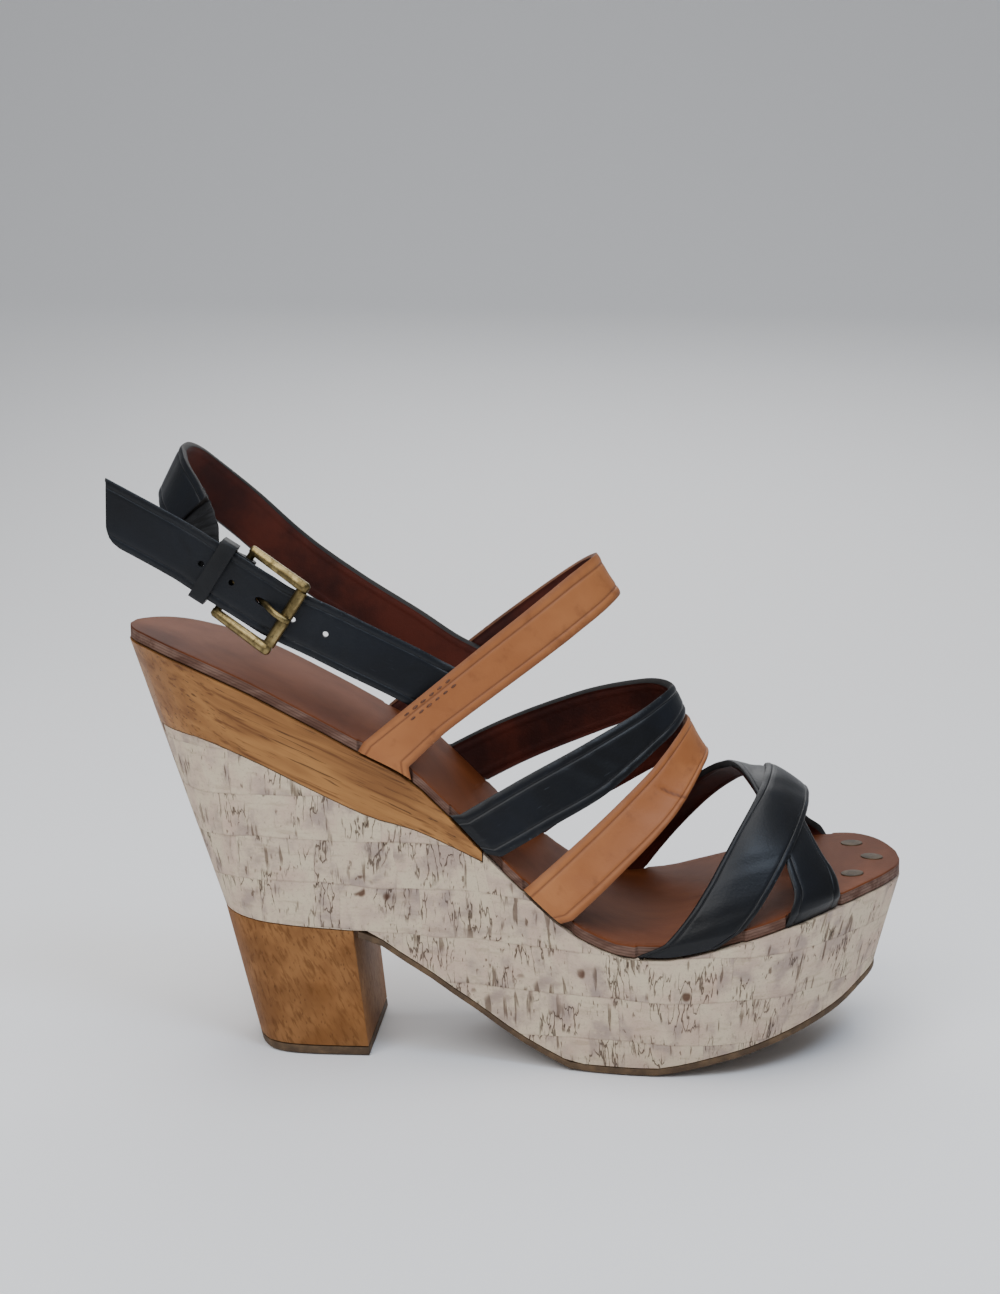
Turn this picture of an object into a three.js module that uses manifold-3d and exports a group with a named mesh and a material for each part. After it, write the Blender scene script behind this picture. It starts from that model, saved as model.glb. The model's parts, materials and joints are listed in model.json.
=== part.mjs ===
import * as THREE from 'three';
import * as BufferGeometryUtils from 'three/addons/utils/BufferGeometryUtils.js';
import Module from 'manifold-3d';

// Platform sandal, right shoe. Millimetres, +X to the toe, +Y to the inner (big toe) side, +Z up.
// The origin is the centre of the heel's floor face; heel and forefoot both stand on Z = 0.

// Sizes of the footbed and of the whole shoe
const FOOTBED_LENGTH = 220;
const HEEL_OVERHANG = 52;
const BALL_WIDTH = 82;
const SEAT_HEIGHT = 120.5;
const BALL_HEIGHT = 39.3;
const TOE_RISE = 11.6;
const FOOTBED_THICKNESS = 3.4;
const FOOTBED_EDGE_ROUND = 0.6;
const RIM_LEDGE = 1.1;

// Sizes of the platform, its wooden seat wedge, and the tread
const TREAD_LENGTH = 188;
const TREAD_HEEL_BACK = 27;
const TREAD_WIDTH = 65;
const SHANK_HEIGHT = 34.7;
const SEAM_RISE = 1.7;
const TOE_UNDERSIDE = 19.5;
const WEDGE_DEPTH = 22;
const WEDGE_LENGTH = 102;
const OUTSOLE_THICKNESS = 1.8;

// Sizes of the block heel
const HEEL_LENGTH = 34;
const HEEL_WIDTH = 41;
const HEEL_TOP_FRONT = 13;
const LIFT_THICKNESS = 2.2;

// Sizes of the studs in the toe
const STUD_DIAMETER = 6.4;
const STUD_DEPTH = 1.6;
const STUD_CROWN = 0.25;

// Sizes of the last that the straps wrap, and of the straps
const INSTEP_RISE = 42;
const LAST_INSET = 1.3;
const STRAP_THICKNESS = 2.0;
const STRAP_CORNER = 0.6;

// Sizes of the ankle strap and its fastening
const ANKLE_LENGTH = 86;
const ANKLE_BACK = 41;
const ANKLE_HALF_BREADTH = 30;
const ANKLE_STRAP_WIDTH = 15;
const BACK_STRAP_WIDTH = 15;
const GATHER_WIDTH = 11.5;
const BILLET_THICKNESS = 1.8;
const HOLE_DIAMETER = 1.9;
const HOLE_SPACING = 9.5;
const BUCKLE_LENGTH = 18.5;
const BUCKLE_WIDTH = 22;
const BUCKLE_BAR = 2.2;
const CROSS_BAR = 1.8;
const ROLLER_WALL = 0.5;
const PRONG_DIAMETER = 1.6;
const KEEPER_WIDTH = 4.6;
const KEEPER_THICKNESS = 1.3;
const GATHER_THICKNESS = 1.4;
const GATHER_FOLDS = 5;
const FOLD_HEIGHT = 0.3;
const TIP_SLANT = 28;
const TIP_CUT = -47;
const KEEPER_PLACE = -14.5;
const TAB_LAYER = 1.0;
const TAB_LENGTH = 9.0;

// Clearance between pieces that touch on the real shoe
const GAP = 0.3;
// Clearance of the footbed's notches round the straps
const NOTCH_GAP = 0.45;
// Clearance between a strap's tucked end and the platform's top
const STRAP_END_GAP = 0.5;

const HEEL_END = -HEEL_OVERHANG;
const HALF_BALL = BALL_WIDTH / 2;

// Footbed outline: one row per section, at = share of its length from the heel.
// middle and half are shares of half the ball width; climb and spring shape its height.
const FOOTBED = [
  { at: 0.000, middle: 0.000, half: 0.000, climb: 1.000, spring: 0.000 },
  { at: 0.030, middle: 0.000, half: 0.385, climb: 0.988, spring: 0.000 },
  { at: 0.086, middle: 0.000, half: 0.595, climb: 0.945, spring: 0.000 },
  { at: 0.150, middle: 0.000, half: 0.680, climb: 0.878, spring: 0.000 },
  { at: 0.250, middle: 0.000, half: 0.695, climb: 0.742, spring: 0.000 },
  { at: 0.310, middle: -0.015, half: 0.688, climb: 0.655, spring: 0.000 },
  { at: 0.373, middle: -0.030, half: 0.675, climb: 0.563, spring: 0.000 },
  { at: 0.421, middle: -0.045, half: 0.680, climb: 0.446, spring: 0.000 },
  { at: 0.471, middle: -0.055, half: 0.700, climb: 0.308, spring: 0.000 },
  { at: 0.514, middle: -0.055, half: 0.730, climb: 0.197, spring: 0.000 },
  { at: 0.568, middle: -0.050, half: 0.800, climb: 0.076, spring: 0.000 },
  { at: 0.605, middle: -0.045, half: 0.860, climb: 0.025, spring: 0.000 },
  { at: 0.645, middle: -0.030, half: 0.930, climb: 0.000, spring: 0.000 },
  { at: 0.690, middle: -0.010, half: 0.985, climb: 0.000, spring: 0.020 },
  { at: 0.740, middle: 0.010, half: 1.000, climb: 0.000, spring: 0.205 },
  { at: 0.795, middle: 0.040, half: 0.985, climb: 0.000, spring: 0.470 },
  { at: 0.845, middle: 0.085, half: 0.925, climb: 0.000, spring: 0.718 },
  { at: 0.900, middle: 0.180, half: 0.800, climb: 0.000, spring: 0.930 },
  { at: 0.955, middle: 0.340, half: 0.600, climb: 0.000, spring: 1.000 },
  { at: 0.982, middle: 0.400, half: 0.400, climb: 0.000, spring: 0.980 },
  { at: 1.000, middle: 0.410, half: 0.000, climb: 0.000, spring: 0.930 },
];

// Tread outline under the platform: at = share of its length from the back of the heel.
// middle and half are shares of half the tread width.
const TREAD = [
  { at: 0.000, middle: 0.000, half: 0.000 },
  { at: 0.016, middle: 0.000, half: 0.260 },
  { at: 0.040, middle: 0.000, half: 0.430 },
  { at: 0.080, middle: 0.000, half: 0.570 },
  { at: 0.140, middle: 0.000, half: 0.645 },
  { at: 0.220, middle: -0.005, half: 0.675 },
  { at: 0.310, middle: -0.030, half: 0.680 },
  { at: 0.400, middle: -0.045, half: 0.700 },
  { at: 0.480, middle: -0.045, half: 0.765 },
  { at: 0.550, middle: -0.030, half: 0.870 },
  { at: 0.630, middle: -0.010, half: 0.965 },
  { at: 0.700, middle: 0.010, half: 1.000 },
  { at: 0.770, middle: 0.040, half: 0.985 },
  { at: 0.830, middle: 0.085, half: 0.910 },
  { at: 0.885, middle: 0.150, half: 0.790 },
  { at: 0.935, middle: 0.240, half: 0.620 },
  { at: 0.975, middle: 0.340, half: 0.370 },
  { at: 1.000, middle: 0.370, half: 0.000 },
];

// Underside of the tread from the heel breast to the toe: at = share of that length.
// arch is a share of the shank height, spring of the underside's rise at the toe.
const UNDERSIDE = [
  { at: 0.000, arch: 1.000, spring: 0.000 },
  { at: 0.028, arch: 1.000, spring: 0.000 },
  { at: 0.052, arch: 0.945, spring: 0.000 },
  { at: 0.095, arch: 0.825, spring: 0.000 },
  { at: 0.143, arch: 0.700, spring: 0.000 },
  { at: 0.190, arch: 0.562, spring: 0.000 },
  { at: 0.238, arch: 0.428, spring: 0.000 },
  { at: 0.286, arch: 0.284, spring: 0.000 },
  { at: 0.333, arch: 0.163, spring: 0.000 },
  { at: 0.381, arch: 0.066, spring: 0.000 },
  { at: 0.425, arch: 0.000, spring: 0.000 },
  { at: 0.560, arch: 0.000, spring: 0.000 },
  { at: 0.612, arch: 0.000, spring: 0.060 },
  { at: 0.660, arch: 0.000, spring: 0.145 },
  { at: 0.707, arch: 0.000, spring: 0.232 },
  { at: 0.752, arch: 0.000, spring: 0.320 },
  { at: 0.799, arch: 0.000, spring: 0.428 },
  { at: 0.847, arch: 0.000, spring: 0.545 },
  { at: 0.895, arch: 0.000, spring: 0.672 },
  { at: 0.946, arch: 0.000, spring: 0.825 },
  { at: 1.000, arch: 0.000, spring: 1.000 },
];

// Lower face of the wooden seat wedge: at = share of the wedge's length,
// depth = share of its depth, measured down from the platform's top.
const WEDGE = [
  { at: 0.000, depth: 1.000 },
  { at: 0.100, depth: 0.985 },
  { at: 0.250, depth: 0.860 },
  { at: 0.400, depth: 0.820 },
  { at: 0.550, depth: 0.800 },
  { at: 0.700, depth: 0.740 },
  { at: 0.800, depth: 0.610 },
  { at: 0.900, depth: 0.380 },
  { at: 1.000, depth: 0.110 },
];

// Floor outline of the heel: at = share of its length from the back, half = share of its half width
const HEEL_FLOOR = [
  { at: 0.000, half: 0.000 },
  { at: 0.030, half: 0.360 },
  { at: 0.090, half: 0.620 },
  { at: 0.200, half: 0.850 },
  { at: 0.380, half: 0.960 },
  { at: 0.650, half: 0.995 },
  { at: 1.000, half: 1.000 },
];

// Sections of the last above the footbed. Each leans from its foot on the footbed, at = share of
// the footbed length, to the ridge of the foot: forward = share of the footbed length, rise = share
// of the instep rise. taper narrows the section upwards, inward moves the ridge to the inner side.
const LAST = [
  { at: 0.127, forward: 0.380, rise: 2.000, taper: 0.10, inward: 0.00 },
  { at: 0.264, forward: 0.300, rise: 1.330, taper: 0.16, inward: 0.04 },
  { at: 0.336, forward: 0.273, rise: 1.010, taper: 0.20, inward: 0.07 },
  { at: 0.445, forward: 0.236, rise: 0.835, taper: 0.20, inward: 0.16 },
  { at: 0.536, forward: 0.186, rise: 0.860, taper: 0.18, inward: 0.14 },
  { at: 0.627, forward: 0.136, rise: 0.925, taper: 0.14, inward: 0.10 },
  { at: 0.718, forward: 0.095, rise: 0.845, taper: 0.10, inward: 0.09 },
  { at: 0.809, forward: 0.057, rise: 0.560, taper: 0.08, inward: 0.07 },
  { at: 0.877, forward: 0.027, rise: 0.260, taper: 0.06, inward: 0.05 },
  { at: 0.936, forward: 0.005, rise: 0.090, taper: 0.05, inward: 0.03 },
  { at: 0.982, forward: 0.000, rise: 0.030, taper: 0.05, inward: 0.00 },
];

// Straps over the last: round = -1 at the outer edge of the footbed, 0 on the ridge, 1 at the
// inner edge, and beyond that down the rim. back and front are shares of the footbed length,
// lift = height of the strap's lining over the last, in strap thicknesses.
const INSTEP_STRAP = [
  { round: -1.20, back: 0.322, front: 0.386, lift: 0.00 },
  { round: -1.00, back: 0.317, front: 0.373, lift: 0.05 },
  { round: -0.85, back: 0.313, front: 0.364, lift: 0.78 },
  { round: -0.60, back: 0.309, front: 0.361, lift: 0.84 },
  { round: -0.30, back: 0.308, front: 0.359, lift: 0.25 },
  { round: 0.00, back: 0.309, front: 0.357, lift: 0.10 },
  { round: 0.30, back: 0.308, front: 0.359, lift: 0.25 },
  { round: 0.60, back: 0.309, front: 0.361, lift: 0.84 },
  { round: 0.85, back: 0.313, front: 0.364, lift: 0.78 },
  { round: 1.00, back: 0.317, front: 0.373, lift: 0.05 },
  { round: 1.20, back: 0.322, front: 0.386, lift: 0.00 },
];
const REAR_VAMP_STRAP = [
  { round: -1.20, back: 0.432, front: 0.478, lift: 0.00 },
  { round: -0.85, back: 0.440, front: 0.494, lift: 0.10 },
  { round: -0.60, back: 0.450, front: 0.506, lift: 0.10 },
  { round: -0.30, back: 0.459, front: 0.506, lift: 0.10 },
  { round: 0.00, back: 0.461, front: 0.499, lift: 0.10 },
  { round: 0.30, back: 0.445, front: 0.490, lift: 0.10 },
  { round: 0.60, back: 0.423, front: 0.473, lift: 0.10 },
  { round: 0.90, back: 0.405, front: 0.455, lift: 0.10 },
  { round: 1.20, back: 0.395, front: 0.445, lift: 0.00 },
];
const FRONT_VAMP_STRAP = [
  { round: -1.20, back: 0.523, front: 0.570, lift: 0.00 },
  { round: -0.80, back: 0.523, front: 0.583, lift: 0.10 },
  { round: -0.50, back: 0.521, front: 0.592, lift: 0.10 },
  { round: -0.20, back: 0.511, front: 0.580, lift: 0.10 },
  { round: 0.00, back: 0.506, front: 0.574, lift: 0.10 },
  { round: 0.30, back: 0.498, front: 0.561, lift: 0.10 },
  { round: 0.60, back: 0.486, front: 0.548, lift: 0.10 },
  { round: 0.90, back: 0.477, front: 0.533, lift: 0.10 },
  { round: 1.20, back: 0.473, front: 0.527, lift: 0.00 },
];
const TOE_STRAP_OVER = [
  { round: -1.20, back: 0.666, front: 0.761, lift: 0.00 },
  { round: -0.85, back: 0.698, front: 0.793, lift: 0.15 },
  { round: -0.55, back: 0.707, front: 0.801, lift: 0.80 },
  { round: -0.28, back: 0.720, front: 0.804, lift: 0.92 },
  { round: 0.00, back: 0.725, front: 0.807, lift: 0.85 },
  { round: 0.30, back: 0.739, front: 0.823, lift: 0.30 },
  { round: 0.60, back: 0.773, front: 0.859, lift: 0.10 },
  { round: 0.90, back: 0.823, front: 0.905, lift: 0.10 },
  { round: 1.20, back: 0.845, front: 0.927, lift: 0.00 },
];
const TOE_STRAP_UNDER = [
  { round: -1.20, back: 0.839, front: 0.902, lift: 0.00 },
  { round: -0.88, back: 0.832, front: 0.893, lift: 0.10 },
  { round: -0.65, back: 0.802, front: 0.876, lift: 0.10 },
  { round: -0.36, back: 0.736, front: 0.816, lift: 0.10 },
  { round: 0.00, back: 0.659, front: 0.741, lift: 0.10 },
  { round: 0.30, back: 0.630, front: 0.709, lift: 0.10 },
  { round: 0.60, back: 0.614, front: 0.686, lift: 0.10 },
  { round: 0.90, back: 0.605, front: 0.673, lift: 0.10 },
  { round: 1.20, back: 0.600, front: 0.668, lift: 0.00 },
];

// Ankle straps: a row per fold of the middle line. reach = share of the ankle's length ahead of its
// back, side = share of its half breadth, up = share of the seat height, lean = degrees that the
// upper edge leans in to the ankle, thick = share of the strap's thickness.
const QUARTER_START = [
  { reach: 0.990, side: -0.800, up: 0.851, lean: 10, thick: 0.67 },
  { reach: 0.897, side: -0.812, up: 0.884, lean: 9, thick: 0.67 },
  { reach: 0.815, side: -0.850, up: 0.917, lean: 8, thick: 1.00 },
  { reach: 0.672, side: -0.925, up: 0.971, lean: 5, thick: 1.00 },
  { reach: 0.560, side: -0.962, up: 1.013, lean: 3, thick: 1.00 },
];
const BILLET_TIP = { reach: -0.165, side: -1.170, up: 1.318, lean: 0, thick: 1.00 };
const GATHER_END = [
  { reach: 0.165, side: -0.820, up: 1.222, thick: 1.00 },
  { reach: 0.130, side: -0.718, up: 1.268, thick: 1.00 },
];
const BACK_STRAP = [
  { reach: 0.119, side: -0.680, up: 1.286, lean: 27, thick: 1.00 },
  { reach: 0.071, side: -0.480, up: 1.328, lean: 28, thick: 1.00 },
  { reach: 0.040, side: -0.200, up: 1.357, lean: 28, thick: 1.00 },
  { reach: 0.035, side: 0.080, up: 1.364, lean: 28, thick: 1.00 },
  { reach: 0.052, side: 0.367, up: 1.350, lean: 25, thick: 1.00 },
  { reach: 0.100, side: 0.633, up: 1.308, lean: 19, thick: 1.00 },
  { reach: 0.198, side: 0.843, up: 1.238, lean: 13, thick: 1.00 },
  { reach: 0.360, side: 0.943, up: 1.130, lean: 8, thick: 1.00 },
  { reach: 0.549, side: 0.950, up: 1.034, lean: 5, thick: 1.00 },
  { reach: 0.758, side: 0.885, up: 0.945, lean: 4, thick: 0.90 },
  { reach: 0.897, side: 0.822, up: 0.884, lean: 4, thick: 0.55 },
  { reach: 0.990, side: 0.791, up: 0.851, lean: 4, thick: 0.55 },
];
// The buckle's middle on the ankle, and the billet's fall and flare there in degrees
const BUCKLE_SEAT = { reach: 0.368, side: -0.983, up: 1.084 };
const BILLET_FALL = 33;
const BILLET_FLARE = 3;

// The billet's holes by their step from the one in use, and their rise over the buckle's middle line
const HOLES = [
  { step: -2, rise: 0 },
  { step: -1, rise: 0 },
  { step: 0, rise: 0 },
  { step: 1, rise: 0.4 },
  { step: 2, rise: 1.8 },
];
// Studs in the toe: at = share of the footbed length, over = share of half the ball width
const STUDS = [
  { name: 'toe_stud_inner', at: 0.943, over: 0.646 },
  { name: 'toe_stud_middle', at: 0.962, over: 0.280 },
  { name: 'toe_stud_outer', at: 0.928, over: -0.141 },
];

const COLOURS = {
  rubber: { color: 0x5f4a33, roughness: 0.85, metalness: 0 },
  heelWood: { color: 0x8c6237, roughness: 0.5, metalness: 0 },
  seatWood: { color: 0xa4743c, roughness: 0.45, metalness: 0 },
  cork: { color: 0xc8bcab, roughness: 0.9, metalness: 0 },
  footbed: { color: 0x7d4e32, roughness: 0.55, metalness: 0 },
  tanLeather: { color: 0xb07a4c, roughness: 0.5, metalness: 0 },
  blackLeather: { color: 0x191c20, roughness: 0.42, metalness: 0 },
  gather: { color: 0x141414, roughness: 0.9, metalness: 0 },
  brass: { color: 0x8a7645, roughness: 0.38, metalness: 0.9 },
  stud: { color: 0x6b6248, roughness: 0.55, metalness: 0.7 },
};

const wasm = await Module();
wasm.setup();

// Smooth curve through a table's column that never swings past its rows
function smooth(rows, by, key) {
  const x = rows.map((row) => row[by]);
  const y = rows.map((row) => row[key]);
  const n = x.length;
  const slope = [];
  for (let i = 0; i < n - 1; i++) {
    slope.push((y[i + 1] - y[i]) / (x[i + 1] - x[i]));
  }
  const bend = [slope[0]];
  for (let i = 1; i < n - 1; i++) {
    const a = x[i] - x[i - 1];
    const b = x[i + 1] - x[i];
    const flat = slope[i - 1] * slope[i] <= 0;
    bend.push(flat ? 0 : (3 * (a + b)) / ((2 * b + a) / slope[i - 1] + (b + 2 * a) / slope[i]));
  }
  bend.push(slope[n - 2]);
  return (at) => {
    const here = Math.min(Math.max(at, x[0]), x[n - 1]);
    let i = 0;
    while (i < n - 2 && here > x[i + 1]) {
      i++;
    }
    const w = x[i + 1] - x[i];
    const t = (here - x[i]) / w;
    const s = 1 - t;
    return y[i] * (1 + 2 * t) * s * s + y[i + 1] * (3 - 2 * t) * t * t
      + w * t * s * (bend[i] * s - bend[i + 1] * t);
  };
}

// Half widths start and end like a circle's, so they are read against an angle along the length
const turn = (at) => Math.acos(1 - 2 * Math.min(Math.max(at, 0), 1)) / Math.PI;
function outline(rows, start, length, unit) {
  const byTurn = rows.map((row) => ({ turn: turn(row.at), half: row.half * unit, middle: (row.middle ?? 0) * unit }));
  const half = smooth(byTurn, 'turn', 'half');
  const middle = smooth(byTurn, 'turn', 'middle');
  return {
    x: (at) => start + at * length,
    edge: (at, side) => middle(turn(at)) + side * half(turn(at)),
    half: (at) => half(turn(at)),
    share: (x) => (x - start) / length,
  };
}

const bed = outline(FOOTBED, HEEL_END, FOOTBED_LENGTH, HALF_BALL);
const tread = outline(TREAD, -TREAD_HEEL_BACK, TREAD_LENGTH, TREAD_WIDTH / 2);
const climb = smooth(FOOTBED, 'at', 'climb');
const bedSpring = smooth(FOOTBED, 'at', 'spring');
const arch = smooth(UNDERSIDE, 'at', 'arch');
const treadSpring = smooth(UNDERSIDE, 'at', 'spring');
const wedgeDepth = smooth(WEDGE, 'at', 'depth');

const BREAST = HEEL_TOP_FRONT;
const TREAD_TOE = TREAD_LENGTH - TREAD_HEEL_BACK;
const OUTSOLE_START = BREAST + 1.5;

function bedTop(x) {
  const at = bed.share(x);
  return BALL_HEIGHT + (SEAT_HEIGHT - BALL_HEIGHT) * climb(at) + TOE_RISE * bedSpring(at);
}
const platformTop = (x) => bedTop(x) - FOOTBED_THICKNESS - GAP;
const wedgeBottom = (x) => platformTop(x) - WEDGE_DEPTH * wedgeDepth((x - HEEL_END) / WEDGE_LENGTH);
function underside(x) {
  const at = (x - BREAST) / (TREAD_TOE - BREAST);
  return SHANK_HEIGHT * arch(at) + TOE_UNDERSIDE * treadSpring(at);
}
function platformBottom(x) {
  const behind = Math.max(0, (BREAST - x) / (BREAST + TREAD_HEEL_BACK));
  return underside(x) + OUTSOLE_THICKNESS + GAP + SEAM_RISE * behind;
}

// A closed body between an upper and a lower sheet of points, both along by across
function slab(along, across, upper, lower) {
  const points = [];
  for (const sheet of [upper, lower]) {
    for (let i = 0; i <= along; i++) {
      for (let j = 0; j <= across; j++) {
        points.push(...sheet(i / along, j, i));
      }
    }
  }
  const row = across + 1;
  const half = (along + 1) * row;
  const index = [];
  const quad = (a, b, c, d) => index.push(a, b, c, a, c, d);
  for (let i = 0; i < along; i++) {
    for (let j = 0; j < across; j++) {
      const a = i * row + j;
      quad(a, a + row, a + row + 1, a + 1);
      quad(half + a, half + a + 1, half + a + row + 1, half + a + row);
    }
    const right = i * row;
    const left = i * row + across;
    quad(right, half + right, half + right + row, right + row);
    quad(left, left + row, half + left + row, half + left);
  }
  for (let j = 0; j < across; j++) {
    const end = along * row + j;
    quad(j, j + 1, half + j + 1, half + j);
    quad(end, half + end, half + end + 1, end + 1);
  }
  const geometry = new THREE.BufferGeometry();
  geometry.setAttribute('position', new THREE.Float32BufferAttribute(points, 3));
  geometry.setIndex(index);
  return geometry;
}

// Joins equal points and drops triangles that have shrunk to a line
function tidy(geometry) {
  const bare = geometry.clone();
  bare.deleteAttribute('normal');
  bare.deleteAttribute('uv');
  const merged = BufferGeometryUtils.mergeVertices(bare, 1e-4);
  const from = merged.index.array;
  const index = [];
  for (let i = 0; i < from.length; i += 3) {
    const [a, b, c] = [from[i], from[i + 1], from[i + 2]];
    if (a !== b && b !== c && c !== a) {
      index.push(a, b, c);
    }
  }
  merged.setIndex(index);
  return merged;
}

function solid(geometry) {
  const shape = tidy(geometry);
  return new wasm.Manifold(new wasm.Mesh({
    numProp: 3,
    vertProperties: new Float32Array(shape.attributes.position.array),
    triVerts: new Uint32Array(shape.index.array),
  }));
}

function geometryOf(body) {
  const mesh = body.getMesh();
  const geometry = new THREE.BufferGeometry();
  geometry.setAttribute('position', new THREE.Float32BufferAttribute(mesh.vertProperties, 3));
  geometry.setIndex(Array.from(mesh.triVerts));
  return geometry;
}

// A prism across the shoe from points of its side view
function prism(points, halfBreadth) {
  const shape = new THREE.Shape(points.map(([x, z]) => new THREE.Vector2(x, z)));
  const geometry = new THREE.ExtrudeGeometry(shape, { depth: 2 * halfBreadth, bevelEnabled: false, steps: 1 });
  geometry.rotateX(Math.PI / 2);
  geometry.translate(0, halfBreadth, 0);
  return geometry;
}

// Sole: platform, wedge, outsole, heel and lift
const SOLE_STEPS = 56;
const ends = (t) => (1 - Math.cos(Math.PI * t)) / 2;
const toeEnd = (t) => Math.sin((Math.PI / 2) * t);
const heelEnd = (t) => 1 - Math.cos((Math.PI / 2) * t);

// The platform is a ruled body: straight walls from the footbed's outline down to the tread's
function platform() {
  const top = (t, j) => {
    const at = ends(t);
    const side = j === 0 ? -1 : 1;
    const x = bed.x(at);
    const round = Math.min(1, bed.half(at) / RIM_LEDGE / 4);
    return [x, bed.edge(at, side) + side * RIM_LEDGE * round, platformTop(x)];
  };
  const bottom = (t, j) => {
    const at = ends(t);
    const x = tread.x(at);
    return [x, tread.edge(at, j === 0 ? -1 : 1), platformBottom(x)];
  };
  return solid(slab(SOLE_STEPS, 1, top, bottom));
}

// Side view of the wedge, grown on its lower and front faces by a clearance
function wedgeShape(grow) {
  const steps = 24;
  const points = [];
  for (let i = 0; i <= steps; i++) {
    const x = HEEL_END - 10 + ((WEDGE_LENGTH + 10) * i) / steps;
    points.push([x, wedgeBottom(Math.max(x, HEEL_END)) - grow]);
  }
  const front = HEEL_END + WEDGE_LENGTH + grow;
  points.push([front, wedgeBottom(front) - grow], [front, SEAT_HEIGHT + 30], [HEEL_END - 10, SEAT_HEIGHT + 30]);
  return solid(prism(points, BALL_WIDTH));
}

function outsole() {
  const from = tread.share(OUTSOLE_START);
  const place = (height) => (t, j) => {
    const at = from + (1 - from) * toeEnd(t);
    const x = tread.x(at);
    return [x, tread.edge(at, j === 0 ? -1 : 1), underside(x) + height];
  };
  return slab(34, 1, place(OUTSOLE_THICKNESS), place(0));
}

// Heel and lift share straight walls from the platform's seam down to the floor outline
const heelHalf = outline(HEEL_FLOOR, -HEEL_LENGTH / 2, HEEL_LENGTH, HEEL_WIDTH / 2);
function heelWall(at, side, z) {
  const topX = -TREAD_HEEL_BACK + at * (BREAST + TREAD_HEEL_BACK);
  const topZ = platformBottom(topX) - GAP;
  const down = (topZ - z) / topZ;
  const top = tread.edge(tread.share(topX), side);
  const floor = heelHalf.edge(at, side);
  return [topX + (heelHalf.x(at) - topX) * down, top + (floor - top) * down, z];
}
function heelPart(upper, lower) {
  const place = (height) => (t, j) => heelWall(heelEnd(t), j === 0 ? -1 : 1, height(heelEnd(t)));
  return slab(16, 1, place(upper), place(lower));
}
const heelSeam = (at) => platformBottom(-TREAD_HEEL_BACK + at * (BREAST + TREAD_HEEL_BACK)) - GAP;

// Footbed: the leather-covered board that the foot stands on, with rounded upper edges
function footbed() {
  const inset = [0, FOOTBED_EDGE_ROUND, FOOTBED_EDGE_ROUND, 0];
  const place = (isTop) => (t, j) => {
    const at = ends(t);
    const side = j < 2 ? -1 : 1;
    const x = bed.x(at);
    const give = Math.min(inset[j], bed.half(at) * 0.5);
    const drop = isTop ? (j === 0 || j === 3 ? FOOTBED_EDGE_ROUND : 0) : FOOTBED_THICKNESS;
    return [x, bed.edge(at, side) - side * give, bedTop(x) - drop];
  };
  return solid(slab(SOLE_STEPS, 3, place(true), place(false)));
}

// A stud: a low domed disc set flush in the toe. grow makes its pocket.
function stud(row, grow = 0) {
  const r = STUD_DIAMETER / 2 + grow;
  const rim = grow > 0 ? 2 : 0;
  const crown = grow > 0 ? 2 : STUD_CROWN;
  const profile = [[0, -STUD_DEPTH - grow], [r, -STUD_DEPTH - grow], [r, rim], [r * 0.6, rim + (crown - rim) * 0.7], [0, crown]];
  const disc = new THREE.LatheGeometry(profile.map(([x, y]) => new THREE.Vector2(x, y)), 24);
  const x = bed.x(row.at);
  const slope = (bedTop(x + 2) - bedTop(x - 2)) / 4;
  disc.rotateX(Math.PI / 2);
  disc.rotateY(-Math.atan(slope));
  disc.translate(x, row.over * HALF_BALL, bedTop(x));
  return disc;
}

// The last: a point of its skin with the direction out of it
const forward = smooth(LAST, 'at', 'forward');
const rise = smooth(LAST, 'at', 'rise');
const taper = smooth(LAST, 'at', 'taper');
const inward = smooth(LAST, 'at', 'inward');
function skin(at, round) {
  const outer = bed.edge(at, -1) + LAST_INSET;
  const inner = bed.edge(at, 1) - LAST_INSET;
  const half = (inner - outer) / 2;
  const angle = (1 - Math.min(Math.abs(round), 1)) * (Math.PI / 2);
  const up = Math.sin(angle);
  const side = Math.sign(round) * half * Math.cos(angle) * (1 - taper(at) * up);
  const foot = new THREE.Vector3(bed.x(at), (inner + outer) / 2, bedTop(bed.x(at)));
  const lean = new THREE.Vector3(forward(at) * FOOTBED_LENGTH, 0, rise(at) * INSTEP_RISE);
  const point = foot.clone().addScaledVector(lean, up);
  point.y += side + inward(at) * HALF_BALL * up;
  if (Math.abs(round) > 1) {
    const down = lean.clone().normalize();
    const depth = (Math.abs(round) - 1) / 0.2;
    const end = rimDepth(foot, down);
    point.addScaledVector(down, -depth * end);
  }
  return point;
}
// How far a line that leaves the footbed's edge downwards runs until it is a gap above the platform
function rimDepth(foot, down) {
  let depth = FOOTBED_THICKNESS;
  for (let i = 0; i < 12; i++) {
    const x = foot.x - down.x * depth;
    depth += 0.6 * (foot.z - down.z * depth - (platformTop(x) + STRAP_END_GAP));
  }
  return depth;
}
function outOf(at, round) {
  const step = 0.004;
  const along = skin(at + step, round).sub(skin(at - step, round));
  const reach = Math.min(Math.abs(round), 0.995) * Math.sign(round);
  const about = skin(at, reach + step).sub(skin(at, reach - step));
  return along.cross(about).normalize();
}

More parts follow.
